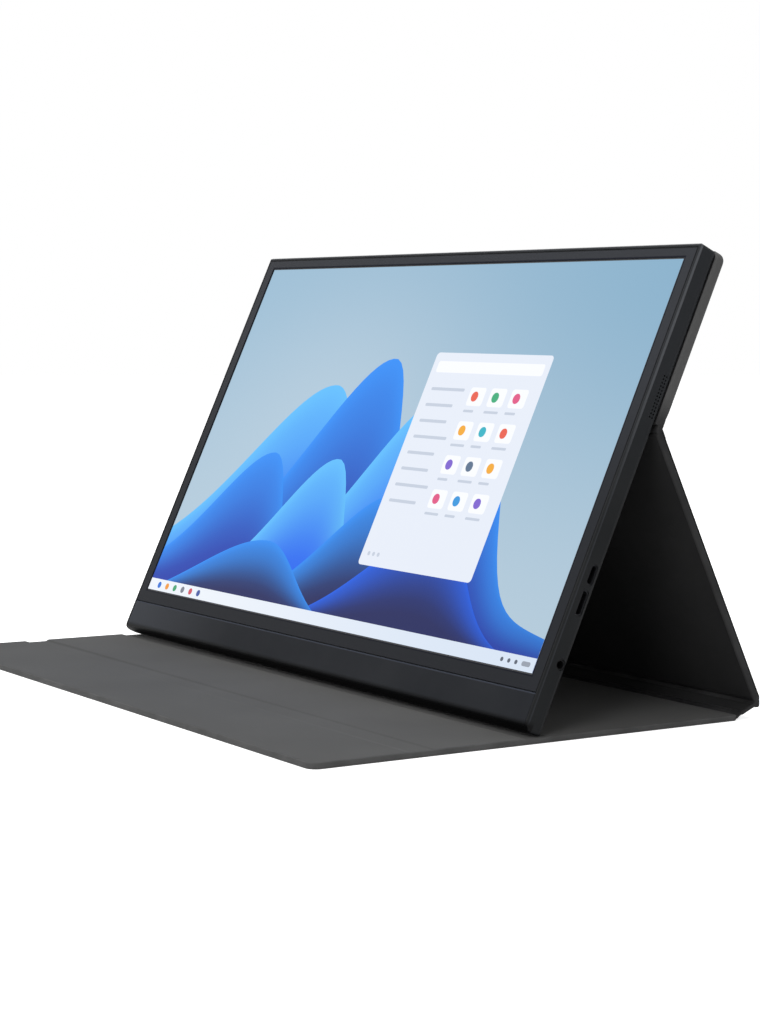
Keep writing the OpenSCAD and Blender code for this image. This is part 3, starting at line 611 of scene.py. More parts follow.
# The upper panel's leather: the darker shaded tone near the fold, painted light from 9 mm above the fold up,
# and the back 0.6 mm kept at the plain cover tone as painted shade on the rounded back edge
LIT_UPPER_LEATHER = Leatherette("lit_upper_leatherette", SHADED_LEG_TONE, patches=(
    Patch((FRONT.span(Way.ALONG, STANCE.fold_v + 9.0, FAR),), LIT_UPPER_TONE, 0.008),
    Patch((FRONT.span(Way.OUT, -FAR, 0.6 - STANCE.case_t - STANCE.upper_t),), COVER_TONE, 0.0004)))
LID_LINING = Microfibre("lid_microfibre", linear(64, 64, 63))
# Painted shade: the lid's microfibre lining, painted much darker on the spine, leg and upper panel, which lie
# in shade behind the monitor
SHADED_LINING = Microfibre("shaded_microfibre", linear(26, 26, 27), sheen=0.06)

# The upper part of the monitor's front, painted lighter as light from above; it fades over 50 mm either side
# of 115 mm up the screen
LIT_UPPER_HALF = FRONT.span(Way.ALONG, 115.0, FAR, soft=50.0)
# The chin's rounded lower edge and the underside, where painted shade goes
SHADED_UNDERSIDE = FRONT.span(Way.ALONG, -FAR, STANCE.case_low + 3.6, soft=1.5)
# The left part of the chin, painted lighter as light from the left; it fades over 60 mm either side of 125 mm
# left of the middle
LIT_LEFT_STRETCH = Span(ACROSS, -FAR * MM, -0.125, soft=0.06)
BEZEL_FACE = screen_box(STANCE.bezel_half - BEZEL_SEAM_SHADE, -FAR, STANCE.bezel_top - BEZEL_SEAM_SHADE)
LIT_EDGE = screen_box(STANCE.lit_half + LIT_BORDER, -LIT_BORDER, STANCE.lit_h + LIT_BORDER)
HOUSING = MouldedPlastic("housing_plastic", linear(25, 27, 29), 0.45, patches=(
    # Painted light: the housing's upper half is lighter, as lit from above
    Patch((LIT_UPPER_HALF,), linear(41, 43, 46)),
    # Painted highlight along the housing's front rim bevel, brighter still in the upper half
    Patch((FRONT.span(Way.OUT, -STANCE.rim_bevel, -0.6),), linear(46, 48, 52)),
    Patch((FRONT.span(Way.OUT, -STANCE.rim_bevel, -0.2), LIT_UPPER_HALF), linear(80, 82, 86)),
    # Painted shade on the housing's rounded underside
    Patch((SHADED_UNDERSIDE, FRONT.span(Way.OUT, -3.5, FAR)), PAINTED_UNDERSIDE_SHADE)))
# Bezel: its dark base colour shows only in the outer band, as painted seam shadow
BEZEL = MouldedPlastic("bezel_plastic", linear(16, 18, 22), 0.45, patches=(
    Patch(BEZEL_FACE, linear(35, 37, 42), EDGE_FADE),
    # Painted light: the bezel's upper half is lighter, as lit from above
    Patch((*BEZEL_FACE, LIT_UPPER_HALF), linear(50, 52, 57), EDGE_FADE),
    Patch(LIT_EDGE, linear(12, 16, 28), EDGE_FADE)))
CHIN = MouldedPlastic("chin_plastic", linear(25, 28, 34), 0.45, patches=(
    # Painted light: the chin's left part is lighter, as lit from the left
    Patch((LIT_LEFT_STRETCH,), linear(57, 60, 66)),
    # Painted highlight along the chin's top edge, at the seam
    Patch((FRONT.span(Way.ALONG, STANCE.chin_top - 0.8, FAR),), linear(58, 62, 72), EDGE_FADE),
    # Painted shade on the chin's rounded lower edge
    Patch((SHADED_UNDERSIDE,), PAINTED_UNDERSIDE_SHADE)))
SCREEN = LitPicture("lit_screen")

NODE_FINISHES: dict[str, Finish] = {
    "rear_housing": HOUSING, "front_bezel": BEZEL, "chin_panel": CHIN,
    "power_button": MouldedPlastic("button_plastic", linear(52, 53, 57), 0.4),
    "menu_rocker": MouldedPlastic("rocker_plastic", linear(52, 53, 57), 0.4),
    "screen_film": PlasticFilm("polariser_film", (0.01, 0.01, 0.012), 0.4, 0.0),
    "lcd_cell": PlasticFilm("cell_glass", (0.16, 0.19, 0.21), 0.12),
    "optical_films": PlasticFilm("prism_film", (0.8, 0.81, 0.81), 0.45),
    "light_guide": PlasticFilm("light_guide_acrylic", (0.72, 0.8, 0.79), 0.15),
    "reflector_sheet": PlasticFilm("reflector_film", (0.85, 0.85, 0.85), 0.4),
    "led_strip": PlasticFilm("led_package", (0.8, 0.74, 0.45), 0.4),
    "backlight_tray": DrawnMetal("tray_aluminium", (0.6, 0.61, 0.63)),
    "driver_board": CircuitBoard("driver_board_mask"),
    "main_board": CircuitBoard("main_board_mask"),
    "button_board": CircuitBoard("button_board_mask"),
    "panel_flex": PlasticFilm("coverlay_flex", (0.05, 0.028, 0.012), 0.35),
    "board_chips": MouldedPlastic("chip_package", (0.012, 0.012, 0.013), 0.5),
    "shield_can": DrawnMetal("shield_tin", (0.6, 0.6, 0.62)),
    "board_screws": DrawnMetal("screw_steel", (0.45, 0.45, 0.47)),
    "rocker_pin": DrawnMetal("pin_steel", (0.5, 0.5, 0.52)),
    "main_ribbon": PlasticFilm("main_ribbon_film", (0.62, 0.63, 0.64), 0.4),
    "button_ribbon": PlasticFilm("button_ribbon_film", (0.62, 0.63, 0.64), 0.4),
    "usb_c_port": DrawnMetal("usb_shell", (0.035, 0.036, 0.04), 0.55),
    "mini_hdmi_port": DrawnMetal("hdmi_shell", (0.035, 0.036, 0.04), 0.55),
    "headphone_jack": MouldedPlastic("jack_plastic", (0.008, 0.008, 0.009), 0.35),
    "right_speaker": MouldedPlastic("right_speaker_box", (0.01, 0.01, 0.011), 0.6),
    "left_speaker": MouldedPlastic("left_speaker_box", (0.01, 0.01, 0.011), 0.6),
    "side_switches": DrawnMetal("switch_steel", (0.55, 0.55, 0.57)),
    "holding_plates": DrawnMetal("plate_steel", (0.42, 0.42, 0.44)),
    "cover_magnets": DrawnMetal("magnet_nickel", (0.6, 0.59, 0.56), 0.25),
    "lid_board": PressedBoard("lid_pressed_board"),
    "spine_stiffener": PressedBoard("spine_pressed_board"),
    "leg_board": PressedBoard("leg_pressed_board"),
    "upper_board": PressedBoard("upper_pressed_board"),
    "lid_skin": LIT_LID_LEATHER, "lid_lining": LID_LINING, "lid_fold_web": LEATHER,
    "spine_skin": LEATHER, "spine_lining": SHADED_LINING, "foot_fold_web": LEATHER,
    "leg_skin": SHADED_LEG_LEATHER, "leg_lining": SHADED_LINING, "back_fold_web": SHADED_FOLD_LEATHER,
    "upper_skin": LIT_UPPER_LEATHER, "upper_lining": SHADED_LINING,
}


class Wardrobe:
    """Builds each finish once and hands it to whatever wears it."""

    def __init__(self) -> None:
        """Starts with nothing built."""
        self.built: dict[str, bpy.types.Material] = {}

    def get(self, finish: Finish) -> bpy.types.Material:
        """The material of a finish, built the first time it is asked for."""
        if finish.name not in self.built:
            self.built[finish.name] = finish.material()
        return self.built[finish.name]

    def dress(self, piece: bpy.types.Object, finish: Finish) -> None:
        """Puts one finish on the whole of a piece."""
        piece.data.materials.clear()
        piece.data.materials.append(self.get(finish))


# ---------- Mesh helpers ----------


def piece_from(name: str, mesh: bmesh.types.BMesh, smooth: float | None = 40.0) -> bpy.types.Object:
    """Makes an object of a bmesh and puts it in the scene.

    Args:
        name: The piece's name.
        mesh: The mesh, which is used up.
        smooth: Faces that meet at less than this many degrees are shaded as one, or None for flat.

    Returns:
        The new object.
    """
    bmesh.ops.recalc_face_normals(mesh, faces=mesh.faces)
    if smooth is not None:
        limit = math.radians(smooth)
        for face in mesh.faces:
            face.smooth = True
        for edge in mesh.edges:
            edge.smooth = len(edge.link_faces) == 2 and edge.calc_face_angle(0.0) < limit
    data = bpy.data.meshes.new(name)
    mesh.to_mesh(data)
    mesh.free()
    piece = bpy.data.objects.new(name, data)
    bpy.context.scene.collection.objects.link(piece)
    return piece


@dataclass(frozen=True)
class Outline:
    """Rounded outline of a panel, in its own plane, in millimetres.

    The shares say how much of an inset the panel's two ends draw in by, and the stops are places along it
    where each side needs a point.
    """

    width: float
    start: float
    end: float
    start_r: float
    end_r: float
    stops: tuple[float, ...] = ()
    arc_steps: int = 7
    start_share: float = 1.0
    end_share: float = 1.0

    def side(self, inset: float) -> list[Place]:
        """The right-hand side from start to end, drawn in by inset.

        Args:
            inset: How far inside the outline.

        Returns:
            Points as (x, along).
        """
        half = self.width / 2 - inset
        low, high = self.start + inset * self.start_share, self.end - inset * self.end_share
        r0, r1 = max(self.start_r - inset, 0.05), max(self.end_r - inset, 0.05)
        points = []
        for i in range(self.arc_steps + 1):
            a = math.pi / 2 * i / self.arc_steps
            points.append((half - r0 + r0 * math.sin(a), low + r0 - r0 * math.cos(a)))
        for stop in sorted(self.stops):
            points.append((half, min(max(stop, low + r0), high - r1)))
        for i in range(self.arc_steps + 1):
            a = math.pi / 2 * i / self.arc_steps
            points.append((half - r1 + r1 * math.cos(a), high - r1 + r1 * math.sin(a)))
        return points


@dataclass
class PanelMesh:
    """A flat panel with soft edges: rings of one outline at several insets and heights, capped across."""

    outline: Outline
    plane: PanelFrame
    lift: Callable[[float, float, float], float] = field(default=lambda x, along, out: out)
    slide: Callable[[float, float], float] = field(default=lambda along, out: along)

    def build(self, name: str, levels: Sequence[Place]) -> bpy.types.Object:
        """Builds the closed mesh.

        Args:
            name: The piece's name.
            levels: (inset, out) of each ring, from the back face to the front face.

        Returns:
            The new object.
        """
        mesh = bmesh.new()
        rings = []
        for inset, out in levels:
            right = self.outline.side(inset)
            ring = []
            for x, along in right + [(-x, along) for x, along in reversed(right)]:
                place = self.plane.point(x, self.slide(along, out), self.lift(x, along, out))
                ring.append(mesh.verts.new(place))
            rings.append(ring)
        count = len(rings[0])
        for lower, upper in zip(rings, rings[1:]):
            for i in range(count):
                j = (i + 1) % count
                mesh.faces.new((lower[i], lower[j], upper[j], upper[i]))
        for ring in (rings[0], rings[-1]):
            for i in range(count // 2 - 1):
                mesh.faces.new((ring[i], ring[i + 1], ring[count - 2 - i], ring[count - 1 - i]))
        return piece_from(name, mesh)


def ribbon(name: str, outer: Sequence[Place], inner: Sequence[Place], half: float,
           soft: float = 0.22, margin: float = 1.0, columns: int = 24) -> bpy.types.Object:
    """A bent strip of leather across the whole width, from its two faces in the side view.

    Args:
        name: The piece's name.
        outer: Outer face as (y, z) in the shared frame, in millimetres.
        inner: Inner face, with as many points.
        half: Half of the strip's width.
        soft: How far the faces draw in at the two ends of the width.
        margin: How far from those ends the even steps start.
        columns: Even steps across the width.

    Returns:
        The new object.
    """
    places = [(-half, soft), (-half + soft, 0.0)]
    places += [((2 * i / columns - 1) * (half - margin), 0.0) for i in range(columns + 1)]
    places += [(half - soft, 0.0), (half, soft)]
    mesh = bmesh.new()
    loops = []
    for x, drawn in places:
        faces: list[list[Place]] = [[], []]
        for a, b in zip(outer, inner):
            gap = math.hypot(b[0] - a[0], b[1] - a[1])
            share = min(0.45, drawn / gap)
            faces[0].append((a[0] + (b[0] - a[0]) * share, a[1] + (b[1] - a[1]) * share))
            faces[1].append((b[0] + (a[0] - b[0]) * share, b[1] + (a[1] - b[1]) * share))
        loops.append([mesh.verts.new(Vector((x, y, z)) * MM) for y, z in faces[0] + faces[1][::-1]])
    count = len(loops[0])
    for left, right in zip(loops, loops[1:]):
        for i in range(count):
            j = (i + 1) % count
            mesh.faces.new((left[i], left[j], right[j], right[i]))
    mesh.faces.new(loops[0])
    mesh.faces.new(loops[-1])
    return piece_from(name, mesh, 30.0)


def smooth_path(points: Sequence[Place], steps: int) -> list[Place]:
    """A smooth line through side-view points.

    Args:
        points: Points to pass through.
        steps: Steps between each two of them.

    Returns:
        The finer line.
    """
    def between(a: float, b: float, c: float, d: float, t: float) -> float:
        """One coordinate at share t of the way from b to c, with a before them and d after them."""
        square, cube = 2 * a - 5 * b + 4 * c - d, 3 * b - a - 3 * c + d
        return 0.5 * (2 * b + (c - a) * t + square * t * t + cube * t ** 3)

    ends = [points[0], *points, points[-1]]
    line = []
    for i in range(1, len(ends) - 2):
        for k in range(steps):
            line.append(tuple(between(*four, k / steps) for four in zip(*ends[i - 1:i + 3])))
    line.append(points[-1])
    return line


# ---------- The cover ----------


class Body(Enum):
    """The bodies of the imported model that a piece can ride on."""

    LID = "lid"
    SPINE = "spine"
    LEG = "leg"
    MONITOR = "monitor"


@dataclass
class FoldingCover:
    """The four panels of the cover and the leather folds that join them."""

    wardrobe: Wardrobe
    width: float = 363.2
    stop_pitch: float = 12.0
    # The pressed grooves across the lid, and how deep in the lid they are felt
    groove_starts: Place = (-69.394, -11.394)
    groove_w: float = 14.0
    groove_slant: float = 2.0
    groove_depth: float = 0.8
    groove_fade: float = 0.2
    press_start: float = -2.2
    press_run: float = 1.4
    # The folds' strips of leather, and how the upper panel thins towards its fold
    fold_share: float = 0.8
    fold_inset: float = 0.05
    fold_steps: int = 6
    blend_reach: float = 2.0
    upper_taper: float = 8.0
    # The leg's outer leather, which reaches down past the foot fold
    overhang_top: float = 1.3
    overhang_slant: float = 0.6
    overhang_run: float = 6.0
    foot_level: float = -2.1
    foot_rear: float = 0.6
    foot_r: float = 0.7

    def groove(self, along: float) -> float:
        """How deep the lid's top is pressed in at a place along it."""
        depth = 0.0
        for start in self.groove_starts:
            rise = (along - start) / self.groove_slant
            fall = (start + self.groove_w - along) / self.groove_slant
            depth = max(depth, self.groove_depth * eased(min(rise, fall, 1.0)))
        return depth

    def stops(self) -> tuple[float, ...]:
        """Places along the lid where its outline needs a point."""
        found = [STANCE.lid_ends[0] + 10 + self.stop_pitch * i for i in range(17)]
        for start in self.groove_starts:
            for edge in (start, start + self.groove_w):
                found += [edge + self.groove_slant * k / 4 for k in range(-5, 6)]
        return tuple(found)

    def lid(self) -> list[bpy.types.Object]:
        """The lid's leather shell and its lining."""
        low, high = STANCE.lid_ends
        plane, base = STANCE.lid(), -STANCE.lid_t

        def pressed(x: float, along: float, out: float) -> float:
            """Presses the grooves into the lid's top, fully on the left and faintly on the right."""
            share = 1.0 if x < 0 else self.groove_fade
            return out - self.groove(along) * share * eased((out - self.press_start) / self.press_run)

        outline = Outline(self.width, low, high, 5.0, 1.5, self.stops())
        shell = PanelMesh(outline, plane, pressed).build("lid_leather", [
            (1.0, base), (0.45, base + 0.06), (0.12, base + 0.3), (0, base + 0.7),
            (0, -0.75), (0.1, -0.35), (0.35, -0.08), (0.7, 0), (0.9, -0.03), (1.0, -0.2)])
        lining = PanelMesh(outline, plane, pressed).build("lid_lining_sheet", [
            (1.05, -0.55), (1.0, -0.15), (1.08, -0.05), (1.3, -0.01), (1.6, 0)])
        self.wardrobe.dress(shell, LIT_LID_LEATHER)
        self.wardrobe.dress(lining, LID_LINING)
        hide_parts("lid_skin")
        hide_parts("lid_lining")
        for piece in (shell, lining):
            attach(piece, Body.LID.value)
        return [shell, lining]

    def spine(self) -> list[bpy.types.Object]:
        """The spine strip's leather shell and its lining."""
        plane = STANCE.spine()
        half = STANCE.spine_t / 2
        low, high = STANCE.spine_start, STANCE.spine_end
        outline = Outline(self.width, low, high, 0.8, 0.8, (3.0, 5.0, 7.0), arc_steps=3)
        shell = PanelMesh(outline, plane).build("spine_leather", [
            (0.7, -half), (0.2, 0.06 - half), (0, 0.3 - half), (0, 0.55),
            (0.15, half - 0.08), (0.5, half), (0.9, half - 0.04), (1.0, half - 0.15)])
        lining = PanelMesh(outline, plane).build("spine_lining_sheet", [
            (1.05, 0.3), (1.0, half - 0.16), (1.1, half - 0.04), (1.3, half)])
        self.wardrobe.dress(shell, LEATHER)
        self.wardrobe.dress(lining, SHADED_LINING)
        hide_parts("spine_skin")
        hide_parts("spine_lining")
        for piece in (shell, lining):
            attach(piece, Body.SPINE.value)
        return [shell, lining]

    def leg(self) -> list[bpy.types.Object]:
        """The leg's leather shell and its lining."""
        plane = STANCE.leg()
        low, high, half = STANCE.leg_start, STANCE.leg_len - STANCE.fold_gap, STANCE.leg_t / 2
        stops = (low + 1.2, low + 2.4, low + 3.6, low + 5, *(self.stop_pitch * (i + 1) for i in range(10)))

        def overhung(along: float, out: float) -> float:
            """Carries the outer leather down past the foot fold, to a level end."""
            end = (self.foot_level - out * math.cos(plane.angle)) / math.sin(plane.angle)
            share = eased((self.overhang_top - out) / self.overhang_slant)
            return along - (low - end) * share * (1 - eased((along - stops[0]) / self.overhang_run))

        outline = Outline(self.width, low, high, 1.0, 0.3, stops, arc_steps=4, end_share=self.fold_share)
        shell = PanelMesh(outline, plane, slide=overhung).build("leg_leather", [
            (1.1, -half), (0.5, 0.06 - half), (0.12, 0.32 - half), (0, 0.75 - half),
            (0, 0.7), (0, 1.0), (0, 1.35), (0.12, half - 0.3),
            (0.4, half - 0.06), (0.75, half), (0.92, half - 0.03), (1.0, half - 0.2)])
        lining = PanelMesh(outline, plane).build("leg_lining_sheet", [
            (1.05, half - 0.58), (1.0, half - 0.14), (1.1, half - 0.04), (1.35, half)])
        # The foot's rear stands upright, with its lower edge rounded
        foot = STANCE.shared(STANCE.foot_fold)
        for vertex in shell.data.vertices:
            rise = min(max(vertex.co.z / MM - foot[1] - self.foot_level, 0.0), self.foot_r)
            inward = self.foot_r - math.sqrt(self.foot_r ** 2 - (self.foot_r - rise) ** 2)
            vertex.co.y = min(vertex.co.y, (foot[0] + self.foot_rear - inward) * MM)
        self.wardrobe.dress(shell, SHADED_LEG_LEATHER)
        self.wardrobe.dress(lining, SHADED_LINING)
        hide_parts("leg_skin")
        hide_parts("leg_lining")
        for piece in (shell, lining):
            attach(piece, Body.LEG.value)
        return [shell, lining]

    def upper(self) -> list[bpy.types.Object]:
        """The upper back panel's leather shell and its lining."""
        plane = STANCE.screen()
        low, high = STANCE.fold_v + STANCE.fold_gap, STANCE.upper_top
        front, back = -STANCE.case_t, -STANCE.case_t - STANCE.upper_t

        def tapered(_x: float, along: float, out: float) -> float:
            """Thins the panel towards the fold."""
            depth = -out - STANCE.case_t
            thin = (STANCE.upper_t - STANCE.upper_waist) * (1 - eased((along - low) / self.upper_taper))
            return -(STANCE.case_t + depth * (1 - thin / STANCE.upper_t))

        stops = (low + 1.5, low + 3, low + 5, low + 7, low + 9, 140.0, 160.0, 180.0)
        outline = Outline(self.width, low, high, 0.3, 5.0, stops, start_share=self.fold_share)
        shell = PanelMesh(outline, plane, tapered).build("upper_leather", [
            (1.6, back), (0.8, back + 0.12), (0.25, back + 0.5), (0, back + 1.2),
            (0, front - 1.1), (0.2, front - 0.5), (0.6, front - 0.12), (0.9, front), (1.0, front - 0.15)])
        lining = PanelMesh(outline, plane, tapered).build("upper_lining_sheet", [
            (1.05, front - 0.55), (1.0, front - 0.12), (1.3, front - 0.01)])
        self.wardrobe.dress(shell, LIT_UPPER_LEATHER)
        self.wardrobe.dress(lining, SHADED_LINING)
        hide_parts("upper_skin")
        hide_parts("upper_lining")
        for piece in (shell, lining):
            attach(piece, Body.MONITOR.value)
        return [shell, lining]

    def fold(self, name: str, faces: tuple[Sequence[Place], Sequence[Place]],
             axis: Place, node: str, finish: Finish) -> bpy.types.Object:
        """One leather fold, bending between two panels.

        Args:
            name: The piece's name.
            faces: Outer and inner face, each as the side-view places that it passes through.
            axis: The fold's axis in the side view; not used.
            node: The model's node that the fold stands for.
            finish: What the fold is made of.

        Returns:
            The new piece.
        """
        outer, inner = (smooth_path(face, self.fold_steps) for face in faces)
        piece = ribbon(name, outer, inner, self.width / 2 - self.fold_inset)
        self.wardrobe.dress(piece, finish)
        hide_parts(node)
        first, final = Vector((0, *inner[0])), Vector((0, *inner[-1]))
        middle = Vector((0, *axis))
        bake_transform(piece)
        return piece

    def folds(self) -> list[bpy.types.Object]:
        """The three leather folds."""
        lid, spine, leg, screen = STANCE.lid(), STANCE.spine(), STANCE.leg(), STANCE.screen()

        def at(plane: PanelFrame, along: float, out: float) -> Place:
            """A panel's place in the side view, in millimetres."""
            place = plane.point(0, along, out) / MM
            return place.y, place.z

        rear, top, rise = STANCE.lid_ends[1], STANCE.leg_len, STANCE.fold_v
        near, foot, ridge = map(STANCE.shared, (STANCE.lid_fold, STANCE.foot_fold, STANCE.back_fold))
        low, half = foot[1] + self.foot_level, STANCE.leg_t / 2
        hinge = STANCE.case_t + STANCE.run_gap + half
        back = STANCE.case_t + STANCE.upper_waist
        crease = half / math.tan((math.pi - leg.angle + screen.angle) / 2)
        return [
            self.fold("lid_fold_leather", (
                [at(lid, rear - 0.9, -1.95), at(lid, rear + 0.2, -1.75), (near[0], near[1] - 0.75),
                 at(spine, 1.5, -0.6), at(spine, 2.6, -0.6)],
                [at(lid, rear - 0.9, -0.45), at(lid, rear + 0.2, -0.4), (near[0], near[1] + 0.2),
                 at(spine, 1.5, 0.4), at(spine, 2.6, 0.5)],
            ), near, "lid_fold_web", LEATHER),
            self.fold("foot_fold_leather", (
                [at(spine, 7.4, -0.75), at(spine, 8.8, -0.85), (foot[0] - 1.2, low + 0.05),
                 (foot[0] + 0.3, low + 0.1), (foot[0] + 0.5, foot[1] - 0.6)],
                [at(spine, 7.4, 0.6), at(spine, 8.8, 0.65), at(leg, 1.6, 1.9), at(leg, 2.6, 1.7),
                 at(leg, 3.6, 1.5)],
            ), foot, "foot_fold_web", LEATHER),
            self.fold("back_fold_leather", (
                [at(leg, top - 5.5, 0.02 - half), at(leg, top - crease - 1.0, -half - 0.05),
                 at(leg, top - crease, -half - 0.05), at(screen, rise + crease + 1.0, -back - 0.02),
                 at(screen, rise + 5.0, -back + 0.02)],
                [at(leg, top - 5.5, half - 0.9), at(leg, top - 2.0, half - 0.6), at(leg, top, half - 0.8),
                 at(screen, rise + 2.0, 0.8 - hinge), at(screen, rise + 5.0, 0.8 - hinge)],
            ), ridge, "back_fold_web", SHADED_FOLD_LEATHER),
        ]

    def build(self) -> list[bpy.types.Object]:
        """Builds every piece of the cover."""
        return [*self.lid(), *self.spine(), *self.leg(), *self.upper(), *self.folds()]


# ---------- The screen's picture ----------


@dataclass
class PictureMesh:
    """Flat coloured shapes stacked a hair apart on the lit area, in one mesh with painted corners."""

    width: float = 2 * STANCE.lit_half
    height: float = STANCE.lit_h
    out: float = -0.33
    step: float = 0.01
    least: float = 0.0001
    corner_steps: int = 6
    layer: int = 0
    faces: list[tuple[list[Point], list[Colour]]] = field(default_factory=list)

    def raise_layer(self) -> None:
        """The next shape lies in front of the ones before it."""
        self.layer += 1

    def add(self, points: Sequence[Place], colours: Sequence[Colour]) -> None:
        """Adds one face, cut off at the lit area's edges.

        Args:
            points: Corners as (x, up) in millimetres from the lit area's lower middle.
            colours: One colour for each corner.
        """
        half = self.width / 2
        out = self.out + self.layer * self.step
        held = [(min(max(x, -half), half), min(max(v, 0.0), self.height), out) for x, v in points]
        across, up, _ = zip(*held)
        if min(max(across) - min(across), max(up) - min(up)) > self.least:
            self.faces.append((held, list(colours)))

    def grid(self, columns: int, rows: int, place: Callable[[float, float], Place],
             paint: Callable[[float, float], Colour]) -> None:
        """Adds a patch of faces.

        Args:
            columns: Faces across.
            rows: Faces up.
            place: Shares across and up to a point on the screen.
            paint: Shares across and up to a colour.
        """
        for i in range(columns):
            for j in range(rows):
                corners = [(i, j), (i + 1, j), (i + 1, j + 1), (i, j + 1)]
                shares = [(a / columns, b / rows) for a, b in corners]
                self.add([place(*s) for s in shares], [paint(*s) for s in shares])

    def rounded(self, x: float, v: float, w: float, h: float, r: float, colour: Colour) -> None:
        """Adds a rounded rectangle of one colour, given its lower left corner."""
        right, top = x + w - r, v + h - r
        points = []
        for quarter, (cx, cv) in enumerate(((right, v + r), (right, top), (x + r, top), (x + r, v + r))):
            for k in range(self.corner_steps + 1):
                a = math.radians(90 * (quarter - 1) + 90 * k / self.corner_steps)
                points.append((cx + r * math.cos(a), cv + r * math.sin(a)))
        self.add(points, [colour] * len(points))

    def build(self, name: str, plane: PanelFrame) -> bpy.types.Object:
        """Makes the mesh on the screen's plane.

        Args:
            name: The piece's name.
            plane: The screen's frame.

        Returns:
            The new object.
        """
        vertices, faces, paints = [], [], []
        for points, colours in self.faces:
            first = len(vertices)
            vertices += [plane.point(*p) for p in points]
            faces.append(range(first, first + len(points)))
            paints += colours
        data = bpy.data.meshes.new(name)
        data.from_pydata(vertices, [], faces)
        paint = data.color_attributes.new("Picture", "FLOAT_COLOR", "POINT")
        for i, colour in enumerate(paints):
            paint.data[i].color = (*colour, 1)
        piece = bpy.data.objects.new(name, data)
        bpy.context.scene.collection.objects.link(piece)
        return piece


def palette(*tones: tuple[int, int, int]) -> list[Colour]:
    """Screen colours, 0 to 255, to linear light."""
    return [linear(*tone) for tone in tones]


@dataclass(frozen=True)
class Swell:
    """One swell of the picture: a hump round its centre, in millimetres from the lit area's lower middle."""

    base: float
    rise: float
    centre: float
    spread: float
    crest: Colour
    foot: Colour
    night: Colour

    def top(self, x: float) -> float:
        """Height of the swell at x."""
        side = (x - self.centre) / (self.spread * (1.25 if x < self.centre else 0.8))
        return self.base + self.rise * math.exp(-side * side) - 0.0009 * (x - self.centre) ** 2

    def colour(self, x: float, up: float) -> Colour:
        """The swell's colour at x and a share of the way up."""
        edge = eased((up - 0.9) / 0.1)
        body = mixed(self.foot, self.crest, eased((up - 0.25) / 0.75) * 0.75)
        shade = 0.3 * eased((x - self.centre) / (2.2 * self.spread))
        return mixed(mixed(body, self.crest, edge * 0.6), self.night, shade)

    def add_to(self, picture: PictureMesh) -> None:
        """Adds the swell to the picture, in front of what is there."""
        def across(a: float) -> float:
            """The x of a share across."""
            return (a - 0.5) * picture.width

        picture.raise_layer()
        picture.grid(86, 8, lambda a, b: (across(a), max(self.top(across(a)), 0.0) * b),
                     lambda a, b: self.colour(across(a), b))


